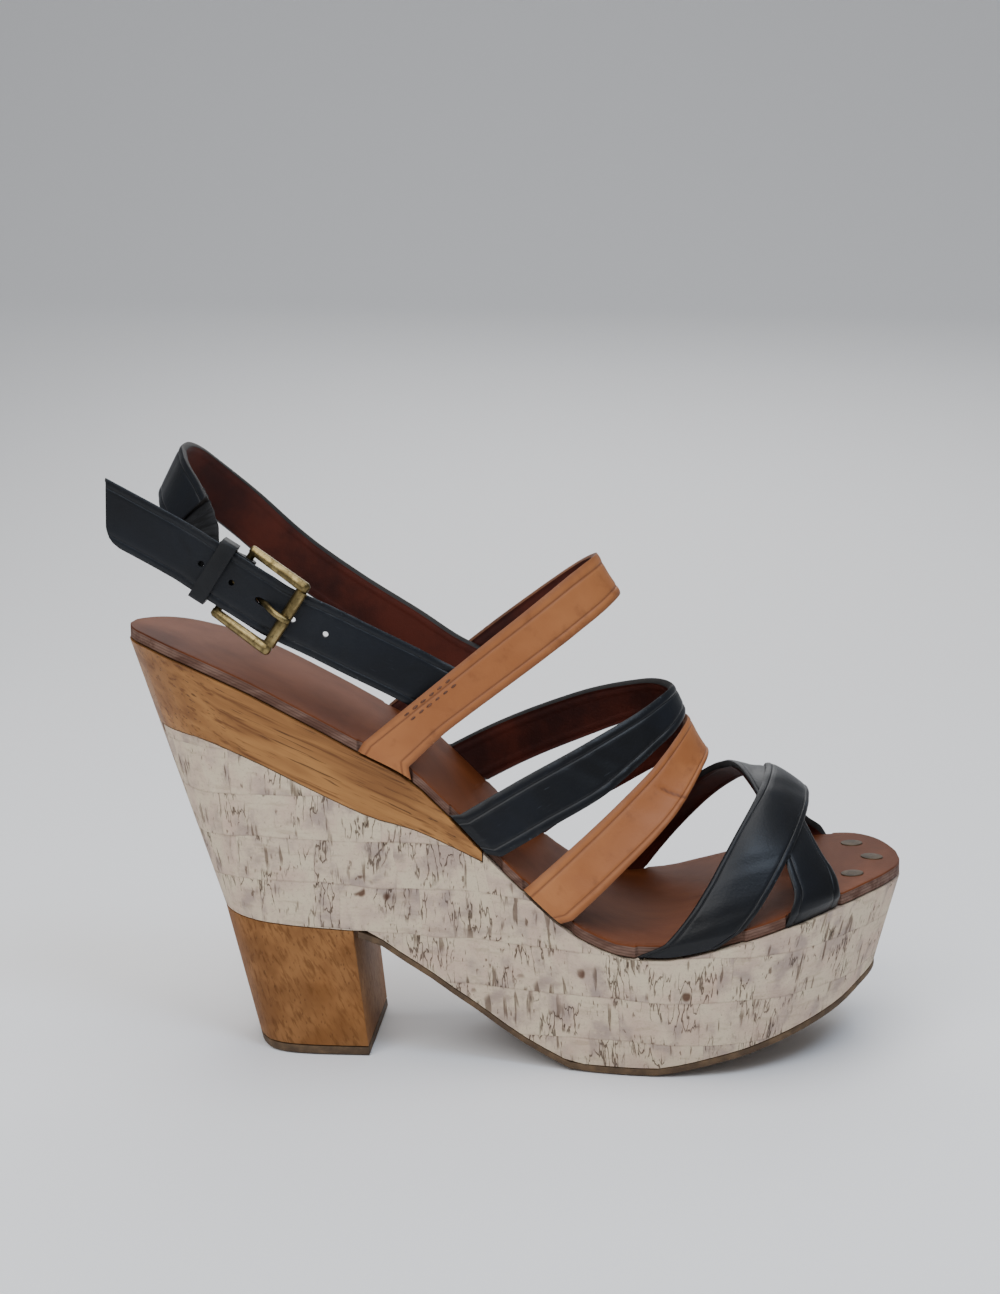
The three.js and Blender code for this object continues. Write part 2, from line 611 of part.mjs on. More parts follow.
// A strap over the last, as a closed strip with rounded edges. grow makes it larger on all sides.
const STRAP_STEPS = 30;
function lastStrap(rows, grow = 0, reach = 1) {
  const back = smooth(rows, 'round', 'back');
  const front = smooth(rows, 'round', 'front');
  const lift = smooth(rows, 'round', 'lift');
  const corner = STRAP_CORNER;
  const place = (isOuter) => (t, j) => {
    const round = (-1.2 + 2.4 * t) * reach;
    const a = back(round);
    const b = front(round);
    const width = (b - a) * FOOTBED_LENGTH;
    const spots = [width + grow, width - corner, (2 * width) / 3, width / 3, corner, -grow];
    const at = a + spots[j] / FOOTBED_LENGTH;
    const atEdge = j === 0 || j === 5;
    const shy = atEdge ? corner : 0;
    const low = GAP + lift(round) * STRAP_THICKNESS - grow + shy;
    const high = GAP + (lift(round) + 1) * STRAP_THICKNESS + grow - shy;
    const point = skin(at, round).addScaledVector(outOf(at, round), isOuter ? high : low);
    return point.toArray();
  };
  return slab(STRAP_STEPS, 5, place(true), place(false));
}

// A point of the ankle from a row's shares
const anklePoint = (row) => new THREE.Vector3(
  row.reach * ANKLE_LENGTH - ANKLE_BACK,
  row.side * ANKLE_HALF_BREADTH,
  row.up * SEAT_HEIGHT,
);

// The billet runs straight through the buckle: its own axes there are ahead, outward and across
const fallAngle = THREE.MathUtils.degToRad(BILLET_FALL);
const flareAngle = THREE.MathUtils.degToRad(BILLET_FLARE);
const ahead = new THREE.Vector3(Math.cos(fallAngle), Math.tan(flareAngle), -Math.sin(fallAngle)).normalize();
const outward = new THREE.Vector3().crossVectors(new THREE.Vector3(0, 0, 1), ahead).normalize().negate();
const across = new THREE.Vector3().crossVectors(ahead, outward);
const seat = anklePoint(BUCKLE_SEAT);
const fastening = new THREE.Matrix4().makeBasis(ahead, outward, across).setPosition(seat);

// Stations along the fastening, measured ahead of the buckle's middle
const BAR_REACH = BUCKLE_LENGTH / 2 - CROSS_BAR / 2;
const RING_HALF = TAB_LAYER / 2;
const LOOP_RADIUS = CROSS_BAR / 2 + GAP + TAB_LAYER;
const REAR_BAR_DEPTH = -(BILLET_THICKNESS / 2 + GAP + LOOP_RADIUS);
const ROLLER_RADIUS = CROSS_BAR / 2 + GAP + ROLLER_WALL;
const FRONT_BAR_DEPTH = BILLET_THICKNESS / 2 + GAP + ROLLER_RADIUS;
const TAB_BACK = -BAR_REACH - TAB_LENGTH;

// Directions across a strap and out of its face, from the lean in its rows
function leaning(rows) {
  const lean = smooth(rows.map((row, i) => ({ t: i / (rows.length - 1), lean: row.lean })), 't', 'lean');
  const middle = new THREE.Vector3(0.5 * ANKLE_LENGTH - ANKLE_BACK, 0, SEAT_HEIGHT);
  return (at, point, tangent) => {
    const out = new THREE.Vector3(tangent.y, -tangent.x, 0).normalize();
    if (out.dot(point.clone().sub(middle)) < 0) {
      out.negate();
    }
    const up = new THREE.Vector3().crossVectors(tangent, out).normalize();
    if (up.z < 0) {
      up.negate();
    }
    const tip = THREE.MathUtils.degToRad(lean(at));
    return {
      reach: up.clone().multiplyScalar(Math.cos(tip)).addScaledVector(out, -Math.sin(tip)),
      face: out.clone().multiplyScalar(Math.cos(tip)).addScaledVector(up, Math.sin(tip)),
    };
  };
}
// The same for a strap whose face turns evenly from one direction to another
function turning(from, to) {
  return (at, point, tangent) => {
    const face = from.clone().lerp(to, at * at * (3 - 2 * at));
    face.addScaledVector(tangent, -face.dot(tangent)).normalize();
    const reach = new THREE.Vector3().crossVectors(tangent, face);
    return { reach: reach.z < 0 ? reach.negate() : reach, face };
  };
}

// A strip along rows of points, with rounded edges. wave is the height of its folds.
function strip(rows, width, thickness, steps, facing = leaning(rows), wave = 0) {
  const curve = new THREE.CatmullRomCurve3(rows.map((row) => row.point), false, 'centripetal');
  const thick = smooth(rows.map((row, i) => ({ t: i / (rows.length - 1), thick: row.thick })), 't', 'thick');
  const inset = [0, STRAP_CORNER, STRAP_CORNER, 0];
  const place = (isOuter) => (t, j) => {
    const at = curve.getUtoTmapping(t);
    const point = curve.getPoint(at);
    const { reach, face } = facing(at, point, curve.getTangent(at));
    const half = (thickness * thick(at)) / 2;
    const fold = wave * Math.sin(t * Math.PI * 2 * GATHER_FOLDS);
    const level = (isOuter ? 1 : -1) * (half - (j === 0 || j === 3 ? Math.min(STRAP_CORNER, half * 0.6) : 0));
    const side = (j < 2 ? 1 : -1) * (width / 2 - inset[j]);
    return point.addScaledVector(reach, side).addScaledVector(face, level + fold).toArray();
  };
  return slab(steps, 3, place(true), place(false));
}
const withPoints = (rows) => rows.map((row) => ({ ...row, point: anklePoint(row) }));
function onBillet(along, depth = 0) {
  const point = seat.clone().addScaledVector(ahead, along).addScaledVector(outward, depth);
  return { point, lean: 0, thick: 1 };
}

// The billet: sewn under the instep strap, straight through the buckle, then free to its slanted tip
function billet() {
  const straight = [5, 0, -8, -16, -25].map((along) => onBillet(along));
  const rows = [...withPoints(QUARTER_START), ...straight, ...withPoints([BILLET_TIP])];
  return solid(strip(rows, ANKLE_STRAP_WIDTH, BILLET_THICKNESS, 44));
}

// The gather: a short stretch piece in small folds, from the tab's end up to the back strap
function gather() {
  const depth = REAR_BAR_DEPTH + LOOP_RADIUS - TAB_LAYER;
  const start = [0.9, 2.1, 3.4].map((behind) => onBillet(TAB_BACK - behind, depth - 0.3 * behind));
  const rows = [...start, ...withPoints(GATHER_END)];
  const next = withPoints(BACK_STRAP.slice(0, 2)).map((row) => row.point);
  const end = leaning(BACK_STRAP)(0, next[0], next[1].clone().sub(next[0]).normalize());
  return strip(rows, GATHER_WIDTH, GATHER_THICKNESS, 22, turning(outward, end.face), FOLD_HEIGHT);
}

// A shape drawn in the fastening's ahead and outward plane, as wide as asked
function acrossBillet(shape, width) {
  const geometry = new THREE.ExtrudeGeometry(shape, { depth: width, bevelEnabled: false, curveSegments: 6 });
  geometry.translate(0, 0, -width / 2);
  return geometry;
}
// A round bar across the billet
function crossBar(radius, length, x, y, sides = 16) {
  const bar = new THREE.CylinderGeometry(radius, radius, length, sides);
  bar.rotateX(Math.PI / 2);
  bar.translate(x, y, 0);
  return bar;
}

// The tab: two layers sewn together, opening into a loop round the rear bar with a slot for the prong
function tab() {
  const top = REAR_BAR_DEPTH + LOOP_RADIUS;
  const body = 2 * TAB_LAYER;
  const shape = new THREE.Shape();
  shape.moveTo(TAB_BACK, top - body);
  shape.lineTo(-BAR_REACH - 3.2, top - body);
  shape.lineTo(-BAR_REACH - 1.2, REAR_BAR_DEPTH - LOOP_RADIUS + 0.3);
  shape.absarc(-BAR_REACH, REAR_BAR_DEPTH, LOOP_RADIUS, -Math.PI / 2, Math.PI / 2, false);
  shape.lineTo(TAB_BACK, top);
  shape.closePath();
  const bore = new THREE.Path();
  bore.absarc(-BAR_REACH, REAR_BAR_DEPTH, CROSS_BAR / 2 + GAP, 0, Math.PI * 2, true);
  shape.holes.push(bore);
  const slot = new THREE.BoxGeometry(LOOP_RADIUS * 2 + 4, LOOP_RADIUS * 2 + 2, PRONG_DIAMETER + 2 * GAP);
  slot.translate(-BAR_REACH + 1.3, REAR_BAR_DEPTH, 0);
  return solid(acrossBillet(shape, ANKLE_STRAP_WIDTH)).subtract(solid(slot));
}

// The keeper: a flat loop round the billet and the tab
function keeper() {
  const low = REAR_BAR_DEPTH + LOOP_RADIUS - 2 * TAB_LAYER - GAP;
  const high = BILLET_THICKNESS / 2 + GAP;
  const half = ANKLE_STRAP_WIDTH / 2 + GAP;
  const wall = KEEPER_THICKNESS;
  const shape = new THREE.Shape();
  const path = (target, grow) => {
    const r = 0.3 + grow * 0.8;
    const [x0, x1, y0, y1] = [-half - grow, half + grow, low - grow, high + grow];
    target.moveTo(x0 + r, y0);
    target.lineTo(x1 - r, y0);
    target.quadraticCurveTo(x1, y0, x1, y0 + r);
    target.lineTo(x1, y1 - r);
    target.quadraticCurveTo(x1, y1, x1 - r, y1);
    target.lineTo(x0 + r, y1);
    target.quadraticCurveTo(x0, y1, x0, y1 - r);
    target.lineTo(x0, y0 + r);
    target.quadraticCurveTo(x0, y0, x0 + r, y0);
  };
  path(shape, wall);
  const hollow = new THREE.Path();
  path(hollow, 0);
  shape.holes.push(hollow);
  const geometry = new THREE.ExtrudeGeometry(shape, { depth: KEEPER_WIDTH, bevelEnabled: false, curveSegments: 4 });
  geometry.translate(0, 0, -KEEPER_WIDTH / 2);
  geometry.rotateY(-Math.PI / 2);
  return geometry;
}

// The buckle: two side bars joined by a round front bar and a round rear bar
const buckleTilt = Math.atan2(FRONT_BAR_DEPTH - REAR_BAR_DEPTH, 2 * BAR_REACH);
function buckleFrame() {
  const length = 2 * Math.hypot(BAR_REACH, (FRONT_BAR_DEPTH - REAR_BAR_DEPTH) / 2) + BUCKLE_BAR;
  const middleDepth = (FRONT_BAR_DEPTH + REAR_BAR_DEPTH) / 2;
  const r = BUCKLE_BAR / 2;
  const bevel = BUCKLE_BAR * 0.22;
  const shape = new THREE.Shape();
  shape.absarc(length / 2 - r, 0, r - bevel, -Math.PI / 2, Math.PI / 2, false);
  shape.absarc(-length / 2 + r, 0, r - bevel, Math.PI / 2, (3 * Math.PI) / 2, false);
  shape.closePath();
  let body = solid(crossBar(CROSS_BAR / 2, BUCKLE_WIDTH - BUCKLE_BAR, BAR_REACH, FRONT_BAR_DEPTH))
    .add(solid(crossBar(CROSS_BAR / 2, BUCKLE_WIDTH - BUCKLE_BAR, -BAR_REACH, REAR_BAR_DEPTH)));
  for (const side of [-1, 1]) {
    const bar = new THREE.ExtrudeGeometry(shape, {
      depth: BUCKLE_BAR - 2 * bevel, bevelThickness: bevel, bevelSize: bevel, bevelSegments: 1, curveSegments: 6,
    });
    bar.translate(0, 0, -(BUCKLE_BAR - 2 * bevel) / 2);
    bar.rotateZ(buckleTilt);
    bar.translate(0, middleDepth, side * (BUCKLE_WIDTH - BUCKLE_BAR) / 2);
    body = body.add(solid(bar));
  }
  return geometryOf(body);
}
function roller() {
  const bore = CROSS_BAR / 2 + GAP;
  const half = (BUCKLE_WIDTH - 2 * BUCKLE_BAR) / 2 - GAP;
  const profile = [[bore, -half], [ROLLER_RADIUS, -half], [ROLLER_RADIUS, half], [bore, half], [bore, -half]];
  const tube = new THREE.LatheGeometry(profile.map(([x, y]) => new THREE.Vector2(x, y)), 20);
  tube.rotateX(Math.PI / 2);
  tube.translate(BAR_REACH, FRONT_BAR_DEPTH, 0);
  return tube;
}

// The prong: a ring on the rear bar, and a round shank that rises through the billet onto the roller
const HOLE_AHEAD = 0.65;
const HOLE_STRETCH = 2.2;
function prongPath() {
  const r = PRONG_DIAMETER / 2;
  const rest = FRONT_BAR_DEPTH + ROLLER_RADIUS + GAP + r;
  return new THREE.CatmullRomCurve3([
    new THREE.Vector3(-BAR_REACH + CROSS_BAR / 2 + GAP + r, REAR_BAR_DEPTH, 0),
    new THREE.Vector3(-BAR_REACH + 5.2, REAR_BAR_DEPTH + 1.1, 0),
    new THREE.Vector3(HOLE_AHEAD - 1.1, -BILLET_THICKNESS / 2 - 0.8, 0),
    new THREE.Vector3(HOLE_AHEAD + 1, BILLET_THICKNESS / 2 - 0.3, 0),
    new THREE.Vector3(HOLE_AHEAD + 2.6, BILLET_THICKNESS / 2 + 2, 0),
    new THREE.Vector3(BAR_REACH - 2.8, rest - 0.7, 0),
    new THREE.Vector3(BAR_REACH - 0.4, rest, 0),
    new THREE.Vector3(BAR_REACH + 1.4, rest - 0.2, 0),
  ], false, 'centripetal');
}
function prong() {
  const r = PRONG_DIAMETER / 2;
  const round = new THREE.Shape();
  round.absarc(0, 0, r, 0, Math.PI * 2, false);
  const shank = new THREE.ExtrudeGeometry(round, { extrudePath: prongPath(), steps: 18, curveSegments: 4 });
  const ringRadius = CROSS_BAR / 2 + GAP + RING_HALF;
  const profile = [];
  for (let i = 0; i <= 8; i++) {
    const a = (i * Math.PI) / 4;
    profile.push(new THREE.Vector2(ringRadius + RING_HALF * Math.cos(a), (r - 0.02) * Math.sin(a)));
  }
  const ring = new THREE.LatheGeometry(profile, 16);
  ring.rotateX(Math.PI / 2);
  ring.translate(-BAR_REACH, REAR_BAR_DEPTH, 0);
  return geometryOf(solid(shank).add(solid(ring)));
}

// Holes through the billet: one every HOLE_SPACING, the one in use drawn long by the prong
function billetHoles() {
  const depth = BILLET_THICKNESS * 4;
  let holes = null;
  for (const { step, rise } of HOLES) {
    const shape = new THREE.Shape();
    const r = step === 0 ? PRONG_DIAMETER / 2 + GAP : HOLE_DIAMETER / 2;
    const stretch = step === 0 ? HOLE_STRETCH : 0.001;
    const x = HOLE_AHEAD + step * HOLE_SPACING;
    shape.absarc(x + stretch, 0, r, -Math.PI / 2, Math.PI / 2, false);
    shape.absarc(x - stretch, 0, r, Math.PI / 2, (3 * Math.PI) / 2, false);
    const pin = new THREE.ExtrudeGeometry(shape, { depth, bevelEnabled: false, curveSegments: 6 });
    pin.translate(0, 0, -depth / 2);
    pin.rotateX(Math.PI / 2);
    pin.translate(0, 0, -rise);
    const one = solid(pin);
    holes = holes ? holes.add(one) : one;
  }
  return holes;
}

const sandal = new THREE.Group();
sandal.name = 'platform_sandal';
function add(name, geometry, colour, parent = sandal) {
  const look = COLOURS[colour];
  const mesh = new THREE.Mesh(tidy(geometry), new THREE.MeshStandardMaterial(look));
  mesh.name = name;
  parent.add(mesh);
  return mesh;
}

const wholePlatform = platform();
add('outsole', outsole(), 'rubber');
add('heel_lift', heelPart(() => LIFT_THICKNESS, () => 0), 'rubber');
add('heel_block', heelPart(heelSeam, () => LIFT_THICKNESS + GAP), 'heelWood');
add('cork_platform', geometryOf(wholePlatform.subtract(wedgeShape(GAP))), 'cork');
add('seat_wedge', geometryOf(wholePlatform.intersect(wedgeShape(0))), 'seatWood');

const lastStraps = [
  { name: 'instep_strap', rows: INSTEP_STRAP, colour: 'tanLeather' },
  { name: 'rear_vamp_strap', rows: REAR_VAMP_STRAP, colour: 'blackLeather' },
  { name: 'front_vamp_strap', rows: FRONT_VAMP_STRAP, colour: 'tanLeather' },
];
let board = footbed();
for (const rows of [...lastStraps.map((strap) => strap.rows), TOE_STRAP_OVER, TOE_STRAP_UNDER]) {
  board = board.subtract(solid(lastStrap(rows, NOTCH_GAP, 1.06)));
}
for (const row of STUDS) {
  board = board.subtract(solid(stud(row, GAP)));
}
add('footbed', geometryOf(board), 'footbed');
for (const row of STUDS) {
  add(row.name, stud(row), 'stud');
}
for (const strap of lastStraps) {
  add(strap.name, lastStrap(strap.rows), strap.colour);
}
const toeStraps = solid(lastStrap(TOE_STRAP_OVER)).add(solid(lastStrap(TOE_STRAP_UNDER)));
add('toe_cross_straps', geometryOf(toeStraps), 'blackLeather');

// The fastening's pieces share its place on the ankle
const fastener = new THREE.Group();
fastener.applyMatrix4(fastening);
sandal.add(fastener);
const placed = (body) => body.transform(fastening.elements);
const slant = new THREE.BoxGeometry(30, 16, 60);
slant.translate(-15, 0, 0);
slant.rotateY(THREE.MathUtils.degToRad(TIP_SLANT));
slant.translate(TIP_CUT, 0, 0);
const billetBody = billet().subtract(placed(billetHoles())).subtract(placed(solid(slant)));
add('quarter_strap', geometryOf(billetBody), 'blackLeather');
add('back_strap', strip(withPoints(BACK_STRAP), BACK_STRAP_WIDTH, STRAP_THICKNESS, 44), 'blackLeather');
add('strap_gather', gather(), 'gather');
add('buckle_tab', geometryOf(tab()), 'blackLeather', fastener);
const loop = add('keeper', keeper(), 'blackLeather', fastener);
loop.position.x = KEEPER_PLACE;
add('buckle_frame', buckleFrame(), 'brass', fastener);
add('buckle_roller', roller(), 'brass', fastener);
add('buckle_prong', prong(), 'brass', fastener);

export default sandal;
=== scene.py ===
# %% [markdown]
# # Dressing a platform sandal
# A measured model of the sandal comes first. It fixes where every piece lies, in metres, with X to the
# toe, Y to the inner side and Z up. The lesson then gives each piece its real surface: straps that are
# folded and creased leather, a cork-covered platform, an oiled wooden seat and heel, and aged brass.

# %% Load the measured model
import json
import math

import bpy
import numpy as np
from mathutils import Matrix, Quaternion, Vector

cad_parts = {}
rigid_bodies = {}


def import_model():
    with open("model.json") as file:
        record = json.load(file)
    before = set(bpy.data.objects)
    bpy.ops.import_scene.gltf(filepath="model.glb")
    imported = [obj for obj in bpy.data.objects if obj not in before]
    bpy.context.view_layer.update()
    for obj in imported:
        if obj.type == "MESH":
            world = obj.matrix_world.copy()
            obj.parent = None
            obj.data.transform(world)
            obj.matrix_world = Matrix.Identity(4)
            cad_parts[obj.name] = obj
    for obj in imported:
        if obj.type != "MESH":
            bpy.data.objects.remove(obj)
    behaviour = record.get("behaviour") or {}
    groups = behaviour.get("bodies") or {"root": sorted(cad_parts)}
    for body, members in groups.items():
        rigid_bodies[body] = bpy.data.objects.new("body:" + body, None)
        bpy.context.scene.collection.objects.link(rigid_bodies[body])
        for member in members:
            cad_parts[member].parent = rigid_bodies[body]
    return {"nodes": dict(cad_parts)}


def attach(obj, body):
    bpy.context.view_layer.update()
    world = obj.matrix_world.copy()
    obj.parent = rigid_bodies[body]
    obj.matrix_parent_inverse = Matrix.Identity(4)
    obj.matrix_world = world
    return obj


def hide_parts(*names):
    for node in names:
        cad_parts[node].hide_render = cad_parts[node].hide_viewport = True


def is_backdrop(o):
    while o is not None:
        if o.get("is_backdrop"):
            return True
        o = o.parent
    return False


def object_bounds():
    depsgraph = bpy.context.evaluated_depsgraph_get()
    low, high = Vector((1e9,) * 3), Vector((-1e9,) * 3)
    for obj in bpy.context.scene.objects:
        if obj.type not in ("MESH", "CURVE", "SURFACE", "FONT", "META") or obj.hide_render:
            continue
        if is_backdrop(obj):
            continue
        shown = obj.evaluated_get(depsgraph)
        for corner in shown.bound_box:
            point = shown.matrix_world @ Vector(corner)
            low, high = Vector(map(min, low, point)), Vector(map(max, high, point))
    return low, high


for thing in list(bpy.data.objects):
    bpy.data.objects.remove(thing)
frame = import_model()
cad_box = [list(corner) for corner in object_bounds()]
MM = 0.001
print("nodes", len(frame["nodes"]), "box", cad_box)

# %% [markdown]
# ## Camera, light and floor
# The shoe is seen from its outer side, a little from the front and from above. Straps of black leather
# only show their form through what they reflect, so soft lamps stand round the shoe: a large one high on
# the camera's side, a small cool one toward the toe, one behind for the far edges and one above. A pale
# floor bounces light up into the cork.

# %% Camera
PHOTO_TARGET = Vector((0.053, 0.0, 0.1135))
PHOTO_AZIMUTH = math.radians(4.0)
PHOTO_ELEVATION = math.radians(9.2)
PHOTO_DISTANCE = 0.55
PHOTO_LENS = 54.25
PHOTO_ROLL = math.radians(-0.3)
back = Vector((
    math.sin(PHOTO_AZIMUTH) * math.cos(PHOTO_ELEVATION),
    -math.cos(PHOTO_AZIMUTH) * math.cos(PHOTO_ELEVATION),
    math.sin(PHOTO_ELEVATION),
))
bpy.ops.object.camera_add(
    location=PHOTO_TARGET + back * PHOTO_DISTANCE,
    rotation=((-back).to_track_quat("-Z", "Y") @ Quaternion((0, 0, 1), PHOTO_ROLL)).to_euler(),
)
camera = bpy.context.object
camera.data.lens = PHOTO_LENS
camera.data.sensor_width = 36
camera.data.clip_start = 0.01
bpy.context.scene.camera = camera
print("camera at", [round(v, 3) for v in camera.location])


# %% Soft lamps
def softbox(name, place, toward, size, power, colour=(1, 1, 1)):
    place, toward = Vector(place), Vector(toward)
    aim = (toward - place).to_track_quat("-Z", "Y").to_euler()
    bpy.ops.object.light_add(type="AREA", location=place, rotation=aim)
    lamp = bpy.context.object
    lamp.name = name
    lamp.data.size = size
    lamp.data.energy = power
    lamp.data.color = colour


softbox("high_lamp", (-0.3, -0.85, 0.95), (0.05, 0, 0.08), 0.9, 9)
softbox("toe_lamp", (0.44, -0.46, 0.9), (0.08, 0, 0.06), 0.3, 3.0, (0.66, 0.8, 1))
softbox("back_lamp", (0.1, 0.9, 0.8), (0.05, 0, 0.1), 0.9, 5)
softbox("top_lamp", (0.1, 0.0, 1.2), (0.05, 0, 0.1), 0.8, 6)
world = bpy.data.worlds.new("studio")
bpy.context.scene.world = world
world.use_nodes = True
sky = world.node_tree.nodes["Background"].inputs
sky["Color"].default_value = (0.95, 0.97, 1, 1)
sky["Strength"].default_value = 0.26

# %% [markdown]
# ## A small language for finishes
# A finish is a network of shader nodes. A `Wire` wraps one socket and turns `+`, `-`, `*` and `/` into
# Math nodes, and a `Finish` makes every other node through one method. Only colour, roughness and bump
# change over a surface.


# %% Wire and Finish
def paint(red, green, blue):
    """A colour as it is read on a screen, 0 to 255, turned to the light that the shader wants."""
    shares = [v / 255 for v in (red, green, blue)]
    return tuple(v / 12.92 if v <= 0.04045 else ((v + 0.055) / 1.055) ** 2.4 for v in shares)


class Wire:
    """One output of a node, with the operators that the finishes use."""

    def __init__(self, finish, socket):
        self.finish, self.socket = finish, socket

    def maths(self, operation, *values):
        return self.finish.node("ShaderNodeMath", {"operation": operation}, dict(enumerate(values)))

    def __add__(self, other):
        return self.maths("ADD", self, other)

    def __mul__(self, other):
        return self.maths("MULTIPLY", self, other)

    def __sub__(self, other):
        return self.maths("SUBTRACT", self, other)

    def __truediv__(self, other):
        return self.maths("DIVIDE", self, other)

    def __abs__(self):
        return self.maths("ABSOLUTE", self)

    def floor(self):
        return self.maths("FLOOR", self)

    def rise(self, low, high):
        """0 below low, 1 above high, and smooth between them; with low above high it falls."""
        ends = {1: low, 2: high, 3: 0, 4: 1} if low < high else {1: high, 2: low, 3: 1, 4: 0}
        settings = {"interpolation_type": "SMOOTHSTEP"}
        return self.finish.node("ShaderNodeMapRange", settings, {0: self, **ends})


class Finish:
    """A material and the nodes that feed its one surface shader."""

    def __init__(self, name, **constants):
        self.material = bpy.data.materials.new(name)
        self.material.use_nodes = True
        self.tree = self.material.node_tree
        self.shader = self.tree.nodes["Principled BSDF"]
        for socket, value in constants.items():
            self.shader.inputs[socket.replace("_", " ")].default_value = value

    def feed(self, socket, value):
        if isinstance(value, Wire):
            self.tree.links.new(value.socket, socket)
        elif isinstance(value, (tuple, list)) and socket.type == "RGBA":
            socket.default_value = (*value[:3], 1)
        else:
            socket.default_value = value

    def node(self, kind, settings=None, values=None, output=0):
        made = self.tree.nodes.new(kind)
        for key, value in (settings or {}).items():
            setattr(made, key, value)
        for key, value in (values or {}).items():
            self.feed(made.inputs[key], value)
        return Wire(self, made.outputs[output])

    def place(self):
        return self.node("ShaderNodeTexCoord", output="Object")

    def unwrapped(self):
        return self.node("ShaderNodeUVMap", {"uv_map": "UVMap"})

    def attribute(self, name):
        return self.node("ShaderNodeAttribute", {"attribute_name": name}, output="Fac")

    def parts(self, vector):
        split = self.tree.nodes.new("ShaderNodeSeparateXYZ")
        self.feed(split.inputs[0], vector)
        return [Wire(self, socket) for socket in split.outputs]

    def join(self, x, y, z=0.0):
        return self.node("ShaderNodeCombineXYZ", None, {0: x, 1: y, 2: z})

    def turned(self, vector, turn=(0, 0, 0), scale=(1, 1, 1)):
        values = {"Vector": vector, "Rotation": [math.radians(a) for a in turn], "Scale": scale}
        return self.node("ShaderNodeMapping", None, values)

    def noise(self, vector, scale, detail=3.0, roughness=0.5, distortion=0.0, stretch=None):
        """Soft noise; a share below 1 in stretch draws it out along that direction."""
        if stretch:
            vector = self.turned(vector, scale=stretch)
        values = {"Vector": vector, "Scale": scale, "Detail": detail, "Roughness": roughness}
        values["Distortion"] = distortion
        return self.node("ShaderNodeTexNoise", None, values)

    def cells(self, vector, scale):
        return self.node("ShaderNodeTexVoronoi", None, {"Vector": vector, "Scale": scale}, "Distance")

    def mix(self, share, first, second):
        """Mixes two colours; a plain one is written as it is read on a screen."""
        first, second = (paint(*c) if isinstance(c, tuple) else c for c in (first, second))
        return self.node("ShaderNodeMix", {"data_type": "RGBA"}, {0: share, 6: first, 7: second}, 2)

    def stack(self, colour, *layers):
        """Lays colours over one another; each layer is a share and a colour."""
        for share, over in layers:
            colour = self.mix(share, colour, over)
        return colour

    def wear(self, colour, roughness=None, height=None, depth=0.0001, strength=0.6):
        """Feeds the surface; a height of 1 stands as far out as the depth, in metres."""
        self.feed(self.shader.inputs["Base Color"], colour)
        if roughness is not None:
            self.feed(self.shader.inputs["Roughness"], roughness)
        if height is not None:
            values = {"Height": height, "Distance": depth, "Strength": strength}
            self.feed(self.shader.inputs["Normal"], self.node("ShaderNodeBump", None, values))
        print("finish", self.material.name, len(self.tree.nodes), "nodes")
        return self.material


# %% [markdown]
# ## Floor
# A roll of pale paper sweeps up behind the shoe, so that no line shows between floor and wall. The far
# edge of a plane is pulled up, and the fold is rounded with a wide bevel.

# %% Floor
def mode(name):
    bpy.ops.object.mode_set(mode=name)


FLOOR_DROP = 0.0004
FLOOR_SIZE = 6
FAR_LINE = 2.9
WALL_HEIGHT = 3.5
SWEEP = 1.4
bpy.ops.object.select_all(action="DESELECT")
bpy.ops.mesh.primitive_plane_add(size=FLOOR_SIZE, location=(0, -1.0, -FLOOR_DROP))
floor = bpy.context.object
floor.name = "studio_floor"
mode("EDIT")
bpy.ops.mesh.select_mode(type="EDGE")


def pick_far_line():
    """Selects the floor's far edge alone, where it lies on the ground."""
    bpy.ops.mesh.select_all(action="DESELECT")
    mode("OBJECT")
    for line in floor.data.edges:
        ends = [floor.data.vertices[v].co for v in line.vertices]
        line.select = all(end.y > FAR_LINE and end.z < 0.1 for end in ends)
    mode("EDIT")


pick_far_line()
bpy.ops.mesh.extrude_region_move(TRANSFORM_OT_translate={"value": (0, 0, WALL_HEIGHT)})
pick_far_line()
bpy.ops.mesh.bevel(offset=SWEEP, segments=24, affect="EDGES")
mode("OBJECT")
bpy.ops.object.shade_smooth()
floor_finish = Finish("floor_paper", Roughness=0.9)
floor.data.materials.append(floor_finish.wear((0.93, 0.93, 0.94)))
floor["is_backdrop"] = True
print("floor and backdrop", len(floor.data.polygons), "faces")

# %% [markdown]
# ## Leather
# The straps are smooth cowhide folded over at both edges. Seen close, such leather has fine pores, long
# soft clouds of lighter and darker dye, a pressed line just inside each edge, and rubbed places: the tan
# turns darker where it is handled, the black shows thin pale scratches. A strap's own coordinates run
# along and across it, and its mesh stores the distance to the nearest edge, so the pressed line and
# the wear follow the strap wherever it goes.

# %% Strap leather
LINE_IN = 2.1
LINE_HALF = 0.42


